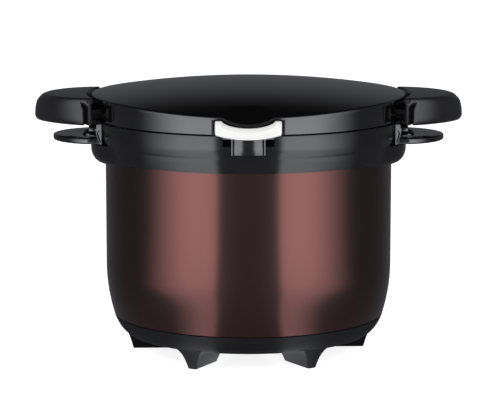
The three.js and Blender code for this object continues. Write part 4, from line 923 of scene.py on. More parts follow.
CARRY_Z = CHIN_TOP_Z + SEAT
CARRY_PLATE_T = 5.0
CARRY_REACH = 36.7
CARRY_HALF_W = 40.0
CARRY_POWER = 1.9
FLANGE_R = BAND_R + SEAT
CARRY_FLANGE_T = 2.6
CARRY_FLANGE_TOP_Z = CARRY_Z + 16.0
CARRY_SLOT_R = (131.4, 139.6)
CARRY_SLOT_TURN = 5.6  # half the turn of the hole, and of the dish round it
CARRY_DISH_TURN = 10.0
CARRY_DISH_D = 3.0
CHEEK_X = 121.6
CHEEK_Y = 41.6
CARRY_SCREW_Y = 24.0
CARRY_SCREW_Z = 190.5
CARRY_SEAT_R = 5.0  # the raised seat of a screw
CARRY_SEAT_D = 4.6  # how far it stands out from the collar
CARRY_SINK_R = 3.7
CARRY_SINK_D = 2.85  # where its sink ends, out from the collar


def half_oval(reach, half_width, power, angles):
    """A handle's outline in plan, beyond the collar's band: x grows to reach, y runs to half_width."""
    points = []
    for a in angles:
        along = reach * abs(cos(a)) ** (2 / power)
        across = half_width * abs(sin(a)) ** (2 / power)
        points.append((BAND_R + along, math.copysign(across, a)))
    return points


def flared(name, outline, low, high, edge):
    """A cutter for a hole with rounded rims: it widens where it meets the two faces."""
    levels = [(edge, high + OVERRUN)]
    levels += [(edge - math.sqrt(edge ** 2 - (edge - d) ** 2), high - d) for d in spread(0, edge, 4)]
    levels += [(outset, low + (high - z)) for outset, z in reversed(levels)]
    return skin(name, rings_at(outline, [(-outset, z) for outset, z in levels]))


def slot_outline(turn, inset=0.0):
    """The finger slot's outline in plan, drawn in by inset."""
    inner, outer = CARRY_SLOT_R[0] + inset, CARRY_SLOT_R[1] - inset
    corners = [(inner * cos(a), inner * sin(a)) for a in spread(-turn, turn, 16)]
    corners += [(outer * cos(a), outer * sin(a)) for a in spread(turn, -turn, 16)]
    radii = [3.4 - inset if i in (0, 16, 17, 33) else 0 for i in range(len(corners))]
    return rounded(corners, radii, steps=6)


def cheek_ring(section, side, behind):
    """A lug's outline in (distance from the collar, height): its face looks a little outwards."""
    return [(CHEEK_X + out, side * (CHEEK_Y - 0.4 * out - behind), CARRY_Z + up) for out, up in section]


def carry_handle():
    ends = math.degrees(math.asin(1 - 0.5 / CARRY_HALF_W))
    outline = half_oval(CARRY_REACH, CARRY_HALF_W, CARRY_POWER, spread(-ends, ends, 72))
    outline += side_arc(FLANGE_R, outline[-1][1] - 0.6, 20)
    top = CARRY_Z + CARRY_PLATE_T
    leaf = plate("carry_handle_right", outline, CARRY_Z, top, 1.5, steps=5)
    slot = flared("slot", slot_outline(CARRY_SLOT_TURN), CARRY_Z, top, 0.9)
    dish = []
    for i in range(9):
        share = i / 8
        outline = slot_outline(lerp(CARRY_SLOT_TURN - 1, CARRY_DISH_TURN, share), 0.8 * (1 - share) ** 2)
        dish.append([(x, y, top - CARRY_DISH_D * (1 - share ** 1.3)) for x, y in outline])
    dish.append([(x, y, top + OVERRUN) for x, y, _ in dish[-1]])
    cut_out(leaf, [slot, skin("dish", dish)])
    outer_r = FLANGE_R + CARRY_FLANGE_T
    half = math.degrees(math.asin(CARRY_HALF_W / outer_r)) - 0.2
    section = rounded([(FLANGE_R, CARRY_Z), (outer_r, CARRY_Z), (outer_r, CARRY_FLANGE_TOP_Z),
                       (FLANGE_R, CARRY_FLANGE_TOP_Z)], [0.2, 0.2, 1.0, 0.4])
    extras = [swept("flange", section, [90 + a for a in spread(-half, half, 32)])]
    cheek = rounded([(0, 0.3), (0, 16.6), (4.0, 16.6), (4.6, 9.0), (1.4, 0.3)], [0.2, 0.4, 0.8, 1.2, 0.4])
    hollow = rounded([(0.7, 1.6), (0.7, 12.4), (2.9, 11.2), (3.9, 9.0), (1.5, 1.6)], 0.3)
    hollows = []
    for side in (-1, 1):
        extras.append(skin("cheek", [cheek_ring(cheek, side, behind) for behind in (0, 2.2)]))
        hollows.append(skin("hollow", [cheek_ring(hollow, side, behind) for behind in (-1, 1.4)]))
        centre = (side * CARRY_SCREW_Y, CARRY_SCREW_Z)
        extras.append(rod("seat", CARRY_SEAT_R, BAND_R - 1.5, FLANGE_R + CARRY_SEAT_D, "x", centre, 0.6))
        hollows.append(bore(CARRY_SINK_R, FLANGE_R + CARRY_SINK_D, FLANGE_R + 9, "x", centre))
        hollows.append(bore(SCREW_HOLE_R, BAND_R - 3, BAND_R + 5, "x", centre))
    fused(leaf, extras)
    wall_r = FLANGE_R - SEAT / 2
    room = turned("collar_wall", [(0, 150), (wall_r, 150), (wall_r, 215), (0, 215)], FINE_STEPS, closed=False)
    return cut_out(leaf, [room, *hollows])


def both_sides(piece, stem, body, slot):
    """Dresses a right-hand piece and its twin on the left."""
    twin = mirrored(piece, stem.format("left"))
    dress(piece, body, slot, stem.format("right"))
    dress(twin, body, slot, stem.format("left"))


def carry_handles():
    both_sides(carry_handle(), "carry_handle_{}", "vessel", "black_plastic")
    for index, y in enumerate((-CARRY_SCREW_Y, CARRY_SCREW_Y)):
        stem = "carry_screw_{}_" + str(index + 1)
        place = (FLANGE_R + CARRY_SEAT_D + SEAT, y, CARRY_SCREW_Z)
        piece = set_at(screw(stem.format("right"), 17.0), place, "x")
        both_sides(piece, stem, "vessel", "steel_parts")


# Lid: the domed cover's rim dips at the front and has a finger scoop over the latch

DOME_RISE = 11.0
ABOVE_DOME_Z = 232.0
FRONT_DIP = 6.5
COVER_T = 2.5
LIP_SIDE_T = 4.0
LIP_FRONT_T = 2.0
LIP_ROUND = 1.2
LIP_FLAT = 0.8  # the rounding's height, as a share of its width
LIP_IN_R = LID_R - LIP_SIDE_T
SCOOP_HALF_W = 19.4
SCOOP_DEPTH = 5.0
SCOOP_LENGTH = 26.0
SCOOP_POWER = 0.6
COVER_STEPS = 336
COVER_FINE = 11  # the third of the steps that lies at the front spans this azimuth to both sides


def cover_z(x, y):
    """Height of the cover's top face."""
    along = smooth((-y - LID_R + SCOOP_LENGTH) / SCOOP_LENGTH)
    across = max(0, 1 - (x / SCOOP_HALF_W) ** 2) ** lerp(3, SCOOP_POWER, along ** 2)
    dome = DOME_RISE * (1 - (x * x + y * y) / LID_R ** 2)
    return LID_RIM_Z + dome - FRONT_DIP * (max(0, -y) / LID_R) ** 3 - SCOOP_DEPTH * across * along


def lip_depth(azimuth):
    return lerp(LIP_SIDE_T, LIP_FRONT_T, max(0, cos(azimuth)))


def cover_ring(radius, depth, steps=COVER_STEPS):
    """Points round the lid at a radius, at a depth below the top face, which may change with the azimuth."""
    ring = []
    fine = steps // 3
    azimuths = spread(-COVER_FINE, COVER_FINE, fine)[:-1]
    azimuths += spread(COVER_FINE, FULL_TURN - COVER_FINE, steps - fine)[:-1]
    for azimuth in azimuths:
        x, y = radius * sin(azimuth), -radius * cos(azimuth)
        ring.append((x, y, cover_z(x, y) - (depth(azimuth) if callable(depth) else depth)))
    return ring


def under_cover(gap, steps=COVER_STEPS):
    """A cutter: everything above the cover's underside, less a gap."""
    def lip(azimuth):
        return max(COVER_T, lip_depth(azimuth)) + gap
    rings = [cover_ring(r, COVER_T + gap, steps) for r in spread(1, LIP_IN_R - LIP_ROUND - gap, 20)]
    rings += [cover_ring(LIP_IN_R - gap, lip, steps)]
    rim = cover_ring(LID_R, lip, steps)
    wide = (LID_R + OVERRUN) / LID_R
    rings += [[(x * wide, y * wide, z) for x, y, z in rim],
              [(x * wide, y * wide, ABOVE_DOME_Z) for x, y, z in rim]]
    return skin("under_cover", rings)


LID_SCREW_R = 112.0
LID_SCREW_TURNS = (45, 135, 225, 315)
LID_BOSS_Z = 212.6
LID_BOSS_R = 4.0
LID_BOSS_HOLE_D = 4.8
LID_BOSS_TOP_Z = 226.0  # before the cover's underside cuts it


def lid_screw_holes(low, high):
    """Cutters for the holes of the lid's four screws."""
    return [turned_to(bore(SCREW_HOLE_R, low, high, centre=(LID_SCREW_R, 0)), turn)
            for turn in LID_SCREW_TURNS]


def lid_cover():
    top = [cover_ring(r, 0) for r in [0.5, *spread(4, 96, 20), *spread(100, LID_R - LIP_ROUND - 0.6, 14)]]
    rim = [cover_ring(LID_R - inset, drop * LIP_FLAT)
           for inset, drop in edge_arc(LIP_ROUND, spread(10, 90, 5))]
    edge = [cover_ring(LID_R - 0.02 - inset, lambda a, k=drop: lerp(LIP_ROUND * LIP_FLAT, lip_depth(a), k))
            for inset, drop in ((0, 0.5), (0, 0.86), (0.12, 0.96), (0.4, 1.0))]
    under = [cover_ring(LIP_IN_R, lambda a: max(COVER_T, lip_depth(a)))]
    under += [cover_ring(r, COVER_T) for r in [LIP_IN_R - LIP_ROUND, *spread(122, 4, 24), 0.5]]
    lid = skin("lid_cover", [*top, *rim, *edge, *under])
    bosses = []
    for turn in LID_SCREW_TURNS:
        boss = turned_to(rod("boss", LID_BOSS_R, LID_BOSS_Z, LID_BOSS_TOP_Z, centre=(LID_SCREW_R, 0)), turn)
        bosses.append(cut_out(boss, [under_cover(-COVER_T / 2, 96)]))
    holes = lid_screw_holes(LID_BOSS_Z - OVERRUN, LID_BOSS_Z + LID_BOSS_HOLE_D)
    dress(cut_out(fused(lid, bosses), holes), "lid", "gloss_black_lid", "lid_cover")


# Lid skirt: an upright wall with a flange and a curtain inside, recesses for the pot's handles, and a bay
# for the latch

SKIRT_R = 127.3
SKIRT_IN_R = 124.5
WALL_TOP_Z = LID_RIM_Z + DOME_RISE
FLANGE_RADII = (107.0, 126.0)
FLANGE_HEIGHTS = (210.3, 212.3)
CURTAIN_RADII = (117.3, 119.3)
CURTAIN_FOOT_Z = 203.5
NOTCH_HALF_W = 27.2
LATCH_WALL_Y = -119.3
LATCH_WALL_HALF_W = 30.8
LATCH_WALL_T = 2.0
LATCH_Y = -128.5
LATCH_Z = 200.9
LATCH_BORE_R = 1.45
LATCH_EAR_X = 14.2
LATCH_EAR_T = 3.0
LATCH_EAR_R = 2.8
LATCH_EAR_FOOT = (1.0, -2.6)  # its corner below the pin, from the pin
LATCH_EAR_TOP = (3.2, 1.3)  # its corner behind the pin
LATCH_EAR_ROOT = (-1.6, 1.3)  # and the heights between which it meets the latch wall
KNUCKLE_HALF_W = 18.0
KNUCKLE_ARM = ((121.7, 199.5), (HINGE_Y, 206.5))  # its lowest and highest (y, z)
RECESS_HALF_W = 50.0
RECESS_TOP_Z = 214.8
RECESS_CORNER_R = 4.0


def ring_of(name, radii, heights, corners=0.5, steps=FINE_STEPS):
    """A ring between two radii and two heights, with rounded corners."""
    (near, far), (low, high) = radii, heights
    return turned(name, rounded([(near, low), (far, low), (far, high), (near, high)], corners), steps)


def latch_ear(low):
    """An ear that holds the latch pin; it slopes down behind the pin, clear of the swinging lever."""
    nose = arc((LATCH_Y, LATCH_Z), LATCH_EAR_R, 90, 270, 12)
    foot, top = ((LATCH_Y + back, LATCH_Z + up) for back, up in (LATCH_EAR_FOOT, LATCH_EAR_TOP))
    outline = [*nose, foot, *[(LATCH_WALL_Y + 1, LATCH_Z + up) for up in LATCH_EAR_ROOT], top]
    return plate("ear", outline, low, low + LATCH_EAR_T, 0.3, "x")


def lid_skirt():
    wall = ring_of("lid_skirt", (SKIRT_IN_R, SKIRT_R), (SEAM_Z, WALL_TOP_Z), [0.6, 0.7, 0, 0])
    below, outside = SEAM_Z - 3, LID_R + 2
    mouth = rounded([(-RECESS_HALF_W, below), (RECESS_HALF_W, below), (RECESS_HALF_W, RECESS_TOP_Z),
                     (-RECESS_HALF_W, RECESS_TOP_Z)], [0, 0, RECESS_CORNER_R, RECESS_CORNER_R])
    recess = plate("recess", mouth, -outside, outside, CUT_EDGE, "x")
    notch = box("notch", (-NOTCH_HALF_W, -outside, below), (NOTCH_HALF_W, 0, WALL_TOP_Z + OVERRUN),
                CUT_EDGE, CUT_EDGE)
    cut_out(wall, [recess, notch])
    flange_top = FLANGE_HEIGHTS[1]
    flange = ring_of("flange", FLANGE_RADII, FLANGE_HEIGHTS, [0.5, 0, 0, 0.5])
    curtain = ring_of("curtain", CURTAIN_RADII, (CURTAIN_FOOT_Z, flange_top), [0.6, 0.6, 0, 0])
    back_y = LATCH_WALL_Y + LATCH_WALL_T
    back = box("latch_wall", (-LATCH_WALL_HALF_W, LATCH_WALL_Y, SEAM_Z),
               (LATCH_WALL_HALF_W, back_y, flange_top), 0.3)
    sides = [box("side", (x, -SKIRT_IN_R - 1, SEAM_Z), (x + LATCH_WALL_T, back_y, flange_top), 0.5)
             for x in (NOTCH_HALF_W, -NOTCH_HALF_W - LATCH_WALL_T)]
    ears = [latch_ear(LATCH_EAR_X), latch_ear(-LATCH_EAR_X - LATCH_EAR_T)]
    barrel = rod("knuckle", HINGE_BARREL_R, -KNUCKLE_HALF_W, KNUCKLE_HALF_W, "x", (HINGE_Y, HINGE_Z), 0.5, 48)
    low, high = KNUCKLE_ARM
    arm = box("arm", (-KNUCKLE_HALF_W, *low), (KNUCKLE_HALF_W, *high), 0.6, 0.4, "x")
    fused(wall, [flange, curtain, back, *sides, *ears, barrel, arm])
    ears_end = LATCH_EAR_X + LATCH_EAR_T + OVERRUN
    latch_bore = bore(LATCH_BORE_R, -ears_end, ears_end, "x", (LATCH_Y, LATCH_Z))
    cutters = [under_cover(SEAT), hinge_bore(), latch_bore, *lid_screw_holes(SEAM_Z, LID_BOSS_TOP_Z)]
    dress(cut_out(wall, cutters), "lid", "black_plastic", "lid_skirt")


# Under the lid: the grey plate, the foam above it and the screws

CEILING_R = 105.0
CEILING_RISE = 10.8
PLATE_R = 117.0
PLATE_T = 1.5
PLATE_ROUND = 0.2
BEAD_RADII = (90.0, 40.0)
BEAD_H = 0.5
BEAD_W = 1.1
LID_SCREW_SINK = 2.3


def ceiling_z(r):
    """Height of the plate's top face: a dome, and a level rim outside it."""
    return PLATE_Z + PLATE_T + CEILING_RISE * max(0, 1 - (r / CEILING_R) ** 2)


def lid_plate():
    """A shallow dome with two fine beads round it and a flat rim."""
    def beads(r):
        return sum(BEAD_H * math.exp(-((r - at) / BEAD_W) ** 2) for at in BEAD_RADII)
    radii = [0, *spread(5, CEILING_R - 2, 70), CEILING_R, CEILING_R + 2, PLATE_R - 0.8]
    top = [(r, ceiling_z(r)) for r in radii]
    edge = [(PLATE_R - PLATE_ROUND, PLATE_Z + PLATE_T - PLATE_ROUND), (PLATE_R, PLATE_Z + PLATE_T / 2),
            (PLATE_R - PLATE_ROUND, PLATE_Z + PLATE_ROUND)]
    under = [(r, ceiling_z(r) - PLATE_T + beads(r)) for r in reversed(radii)]
    pan = turned("lid_plate", [*top, *edge, *under], closed=False)
    dress(cut_out(pan, lid_screw_holes(SEAM_Z, LID_BOSS_TOP_Z)), "lid", "grey_plastic", "lid_plate")


def lid_foam():
    """Foam that fills the space between the plate and the cover."""
    edge = CEILING_R - 3
    floor_points = [(r, ceiling_z(r) + SEAT * 2) for r in spread(0, edge, 24)]
    pad = turned("lid_insulation", [*floor_points, (edge, WALL_TOP_Z), (0, WALL_TOP_Z)], 96, closed=False)
    dress(cut_out(pad, [under_cover(SEAT, 96)]), "lid", "foam", "lid_insulation")


def lid_screws():
    for index, turn in enumerate(LID_SCREW_TURNS):
        name = f"lid_screw_{index + 1}"
        piece = set_at(screw(name, 10.9), (LID_SCREW_R, 0, PLATE_Z - LID_SCREW_SINK))
        dress(turned_to(piece, turn), "lid", "steel_parts", name)


# Latch: a lever that swings on a pin, the hook below it, and the spring on the pin

LEVER_R = 135.2
LEVER_HALF_W = 26.4
LEVER_BACK_Y = -126.5
LEVER_BEVEL_H = 3.2
LEVER_BEVEL_D = 4.6
LEVER_TOP_Z = (204.3, 210.0)  # in the scoop, and at the shoulders
LEVER_FOOT_Z = 195.5
LEVER_SMILE = 3.6
LEVER_SCOOP_HALF_W = 21.0
LEVER_END_R = 1.2
LEVER_HALF_D = 4.4  # from the middle of its outline to the face
LEVER_ROOM_R = 129.1  # it clears the collar, which is inside this radius and below the seam
LEVER_EAR_GAP = (0.6, 0.3)  # beside the skirt's ears, and in front of them
LEVER_EAR_TOP_Z = 204.1
LEVER_BORE_HALF_L = 21.8
SPRING_WINDOW = (7.5, 2.6, 2.7)  # its half width, and how far it reaches out from the pin and below it
BAY_Y = -100.0  # cutters of the latch end here, behind its bay
BAY_Z = 170.0  # and here, below it
HOOK_R = 133.6
HOOK_HALF_W = 13.4
HOOK_FOOT_Z = 183.0
HOOK_TOP_Z = 198.0
HOOK_RIB_HALF_W = 11.2
HOOK_RIB_FALL = 0.09
LIP_HALF_W = 12.5
LIP_Y = (-131.0, -125.7)
LIP_Z = (191.3, 194.3)
LATCH_PIN_R = 1.25
LATCH_PIN_HALF_L = 21.5
SPRING_COIL_R = 2.15
SPRING_HALF_L = 4.5
SPRING_TURNS = 6


def lever_section(x):
    """The lever's outline in (y, z) at a place across the front."""
    face = -math.sqrt(LEVER_R ** 2 - x * x)
    foot = LEVER_FOOT_Z + LEVER_SMILE * (x / LEVER_HALF_W) ** 2
    rise = 1 - max(0, 1 - (x / LEVER_SCOOP_HALF_W) ** 2) ** SCOOP_POWER
    top = lerp(*LEVER_TOP_Z, rise)
    corners = [(face, foot), (face, top - LEVER_BEVEL_H), (face + LEVER_BEVEL_D, top), (LEVER_BACK_Y, top),
               (LEVER_BACK_Y, foot)]
    return rounded(corners, [0.9, 1.0, 1.2, 0.4, 0.3], steps=5)


def latch_lever():
    rings = []
    for x in spread(-LEVER_HALF_W, LEVER_HALF_W, 132):
        inset = 0
        over = abs(x) - (LEVER_HALF_W - LEVER_END_R)
        if over > 0:
            inset = LEVER_END_R - math.sqrt(max(0, LEVER_END_R ** 2 - over ** 2))
        section = lever_section(x)
        middle = sum(section, Vector((0, 0))) / len(section)
        scale = 1 - inset / LEVER_HALF_D
        rings.append([(x, *(middle + (point - middle) * scale)) for point in section])
    lever = skin("latch_lever", rings)
    cutters = [turned("collar_room", [(0, 0), (LEVER_ROOM_R, 0), (LEVER_ROOM_R, SEAM_Z), (0, SEAM_Z)],
                      FINE_STEPS, closed=False)]
    gap, front_gap = LEVER_EAR_GAP
    for low in (LATCH_EAR_X - gap, -LATCH_EAR_X - LATCH_EAR_T - gap):
        cutters.append(box("ear_room", (low, LATCH_Y - LATCH_EAR_R - front_gap, BAY_Z),
                           (low + LATCH_EAR_T + 2 * gap, BAY_Y, LEVER_EAR_TOP_Z), 0.3, CUT_EDGE))
    half, reach, drop = SPRING_WINDOW
    cutters += [
        box("spring_window", (-half, LATCH_Y - reach, LATCH_Z - drop), (half, BAY_Y, LATCH_Z + reach), 0.2,
            CUT_EDGE),
        bore(LATCH_BORE_R, -LEVER_BORE_HALF_L, LEVER_BORE_HALF_L, "x", (LATCH_Y, LATCH_Z)),
        box("hook_room", (-HOOK_HALF_W - SEAT, -HOOK_R - SEAT, BAY_Z),
            (HOOK_HALF_W + SEAT, BAY_Y, HOOK_TOP_Z + SEAT), 0.3, CUT_EDGE)]
    dress(cut_out(lever, cutters), "latch", "white_plastic", "latch_lever")


def latch_hook():
    """A tab with thin cheeks and a rounded rib down its middle; its lip reaches under the striker."""
    back = plan_arc(HOOK_R - 4, HOOK_HALF_W, 20)
    floor_y = -(HOOK_R - 3.3)
    front = [(-HOOK_HALF_W, -HOOK_R + 1.2), (-HOOK_HALF_W + 0.9, -HOOK_R + 0.9),
             (-HOOK_HALF_W + 1.2, floor_y), (-HOOK_RIB_HALF_W - 0.3, floor_y)]
    rib = [(x, HOOK_RIB_FALL * abs(x) ** 1.4 - HOOK_R) for x in spread(-HOOK_RIB_HALF_W, HOOK_RIB_HALF_W, 32)]
    outline = [*front, *rib, *[(-x, y) for x, y in reversed(front)], *reversed(back)]
    tab = plate("latch_hook", outline, HOOK_FOOT_Z, HOOK_TOP_Z, 0.3, steps=2)
    lip = box("lip", (-LIP_HALF_W, LIP_Y[0], LIP_Z[0]), (LIP_HALF_W, LIP_Y[1], LIP_Z[1]), 0.4, 0.3, "x")
    dress(fused(tab, [lip]), "latch", "black_plastic", "latch_hook")


def latch_pin():
    pin = rod("latch_pin", LATCH_PIN_R, -LATCH_PIN_HALF_L, LATCH_PIN_HALF_L, "x", (LATCH_Y, LATCH_Z), 0.3, 24)
    dress(pin, "lid", "steel_parts", "latch_pin")


def latch_spring():
    """A coil of round wire about the pin."""
    wire_r, sides, steps = 0.4, 10, 40
    rings = []
    for i in range(SPRING_TURNS * steps + 1):
        turn = FULL_TURN * i / steps
        x = lerp(-SPRING_HALF_L + wire_r, SPRING_HALF_L - wire_r, i / (SPRING_TURNS * steps))
        rings.append([(x + wire_r * sin(a), LATCH_Y + (SPRING_COIL_R + wire_r * cos(a)) * cos(turn),
                       LATCH_Z + (SPRING_COIL_R + wire_r * cos(a)) * sin(turn)) for a in round_steps(sides)])
    dress(skin("latch_spring", rings), "lid", "steel_parts", "latch_spring")


def hinge_pin():
    pin = rod("hinge_pin", HINGE_PIN_R, -HINGE_PIN_HALF_L, HINGE_PIN_HALF_L, "x", (HINGE_Y, HINGE_Z), 0.5)
    dress(pin, "vessel", "steel_parts", "hinge_pin")


# Pot: pressed steel with a clad base, brackets and deep handles

POT_WALL = 1.5
POT_TOP_Z = 203.0
POT_SEAT_Z = 196.0
POT_STEP = 3.5
POT_FLOOR_Z = 44.6
POT_CORNER_R = 22.0
POT_DISC_R = 84.0
POT_DISC_Z = (40.3, 44.3)
TONGUE_Z = 199.0
BRACKET_T = 2.0
BRACKET_HALF_W = 20.0
BRACKET_FOOT_Z = 180.0
BRACKET_PAD_H = 8.0
BRACKET_REACH = 23.0  # beyond the collar's band
GRIP_FOOT_Z = 196.2
GRIP_TOP_Z = 219.0
GRIP_HALF_W = 49.0
GRIP_REACH = 51.99
GRIP_TREAD_R = 1.2
GRIP_CROWN_R = 1.3
GRIP_HOLLOW_TOP_Z = 214.2
GRIP_HOLLOW_X = 142.5
GRIP_ROOT_X = (138.0, 136.5)  # its inner face, up to a share of the height and at the top
GRIP_ROOT_SHARES = (0.7, 0.95)
GRIP_SCREW_X = 146.0
GRIP_SCREW_Y = 12.0
GRIP_HOLE_R = 2.2
GRIP_BOSS = (138.5, 151.0, 22.0)  # its two X faces and its half width
NECKS = ((120.2, 26, 198.4, 208.5), (126.8, 24, 198.8, 213.0))  # inner radius, half width, foot and top
NECK_HALF_W = 40.0
NECK_TURN_X = 134.5
NECK_END_X = 141.0
NECK_LIP = ((131.2, 134.5), (196.3, 199.5), 15.5)  # radii, heights and half its turn


def pot_body():
    rim_r = POT_R + POT_STEP
    centre = (POT_R - POT_CORNER_R, POT_FLOOR_Z + POT_WALL + POT_CORNER_R)
    inside = [(0, POT_FLOOR_Z + POT_WALL), *arc(centre, POT_CORNER_R, -90, 0, 12),
              (POT_R, POT_SEAT_Z - 2), (POT_R + 0.6, POT_SEAT_Z - 1.3), (rim_r - 0.6, POT_SEAT_Z - 0.2),
              (rim_r, POT_SEAT_Z + 0.5)]
    rim = arc((rim_r + POT_WALL / 2, POT_TOP_Z - POT_WALL / 2), POT_WALL / 2, 180, 0, 8)
    outside = [(rim_r + POT_WALL, POT_SEAT_Z), (rim_r + POT_WALL - 0.4, POT_SEAT_Z - 1),
               (POT_R + POT_WALL + 0.3, POT_SEAT_Z - 2.2), (POT_R + POT_WALL, POT_SEAT_Z - 3),
               *arc(centre, POT_CORNER_R + POT_WALL, 0, -90, 12), (0, POT_FLOOR_Z)]
    dress(turned("pot_body", [*inside, *rim, *outside], closed=False), "pot", "satin_steel", "pot_body")


def pot_base_disc():
    (low, high), radius = POT_DISC_Z, POT_DISC_R
    profile = [(0, low), (radius - 8, low), (radius - 7.6, low + 0.4), (radius - 6.4, low + 0.4),
               (radius - 6, low), (radius - 1, low), (radius - 0.3, low + 0.3), (radius, low + 1),
               (radius, high - 0.6), (radius - 0.6, high), (0, high)]
    dress(turned("pot_base_disc", profile, 128, closed=False), "pot", "satin_steel", "pot_base_disc")


def grip_bores(low, high):
    return [bore(GRIP_HOLE_R, low, high, centre=(GRIP_SCREW_X, y)) for y in (-GRIP_SCREW_Y, GRIP_SCREW_Y)]


def pot_brackets():
    pad, leg = POT_R + POT_WALL + SEAT, POT_R + POT_STEP + POT_WALL + SEAT
    foot, tip = BRACKET_FOOT_Z, BAND_R + BRACKET_REACH
    low, top = foot - BRACKET_PAD_H, TONGUE_Z + BRACKET_T
    section = rounded([
        (pad, low), (pad + BRACKET_T, low), (pad + BRACKET_T, foot), (leg + BRACKET_T, foot),
        (leg + BRACKET_T, TONGUE_Z), (tip, TONGUE_Z), (tip, top), (leg, top), (leg, foot + BRACKET_T),
        (pad, foot + BRACKET_T)], [0.4, 0.4, 0.5, 1.0, 1.0, 0.4, 0.4, 1.4, 1.0, 1.0])
    strap = swept("pot_bracket_right", section, [90 + a for a in spread(-14, 14, 28)])
    sides = [box("side", (90, y0, 160), (160, y1, 210), CUT_EDGE, CUT_EDGE)
             for y0, y1 in ((-60, -BRACKET_HALF_W), (BRACKET_HALF_W, 60))]
    both_sides(cut_out(strap, sides + grip_bores(190, 210)), "pot_bracket_{}", "pot", "satin_steel")


# The grip's plan at each share of its height: its reach, its width and how square it is
GRIP_SHARES = (0, 0.18, 0.7, 0.93, 1)
GRIP_REACH_SHARES = (0.965, 1, 0.967, 0.885, 0.83)
GRIP_WIDTH_SHARES = (0.985, 1, 0.99, 0.975, 0.94)
GRIP_POWERS = (1.5, 1.6, 1.75, 1.88, 1.9)
FLUTE_X = (131.6, 135.7)  # a groove down each side, next to the lid, that runs out in a flare below the top
FLUTE_DEPTH = 9.0
FLUTE_TOP_Z = (208.5, 216.4)
FLUTE_FLARE = 3.0


def through(shares, values, share):
    """A smooth curve through the values at their shares."""
    for i in range(len(shares) - 1):
        if share <= shares[i + 1]:
            break
    span = shares[i + 1] - shares[i]

    def slope(k):
        low, high = max(0, k - 1), min(len(shares) - 1, k + 1)
        return (values[high] - values[low]) / (shares[high] - shares[low])
    t = (share - shares[i]) / span
    return ((2 * t ** 3 - 3 * t ** 2 + 1) * values[i] + (t ** 3 - 2 * t ** 2 + t) * span * slope(i)
            + (3 * t ** 2 - 2 * t ** 3) * values[i + 1] + (t ** 3 - t ** 2) * span * slope(i + 1))


def grip_ring(z, inset=0.0):
    """The grip's outline at a height, with the groove in its sides, drawn in by inset."""
    share = (z - GRIP_FOOT_Z) / (GRIP_TOP_Z - GRIP_FOOT_Z)
    reach = GRIP_REACH * through(GRIP_SHARES, GRIP_REACH_SHARES, share) - inset
    half = GRIP_HALF_W * through(GRIP_SHARES, GRIP_WIDTH_SHARES, share) - inset
    power = through(GRIP_SHARES, GRIP_POWERS, share)
    open_share = 1 - smooth((z - FLUTE_TOP_Z[0]) / (FLUTE_TOP_Z[1] - FLUTE_TOP_Z[0]))
    depth = FLUTE_DEPTH * open_share
    low, high = FLUTE_X
    high += FLUTE_FLARE * (1 - open_share)
    side_x = [high + step for step in (2.4, 1.7, 1.1, 0.6, 0.25, 0.05, 0)]
    side_x += [*spread(high, low, 6)[1:], low - 0.25, low - 0.7]
    carved = [0, 0.02, 0.08, 0.2, 0.4, 0.75, depth, *[depth * (1 - i / 6) for i in range(1, 6)], 0.4, 0.1, 0]

    def side_y(x):
        turn = math.degrees(math.acos(min(1, (x - BAND_R) / reach) ** (power / 2)))
        return half * sin(turn) ** (2 / power)
    first = math.degrees(math.acos(((side_x[0] + 0.8 - BAND_R) / reach) ** (power / 2)))
    outer = half_oval(reach, half, power, spread(-first, first, 84))
    side = [(x, side_y(x) - min(dent, 0.75 * open_share if i < 6 else dent))
            for i, (x, dent) in enumerate(zip(side_x, carved))]
    low, high = GRIP_ROOT_SHARES
    root = lerp(*GRIP_ROOT_X, smooth((share - low) / (high - low)))
    inner = side_arc(root, side[-1][1] - 0.4, 16)
    return [(x, y, z) for x, y in [*[(x, -y) for x, y in reversed(side)], *outer, *side, *inner]]


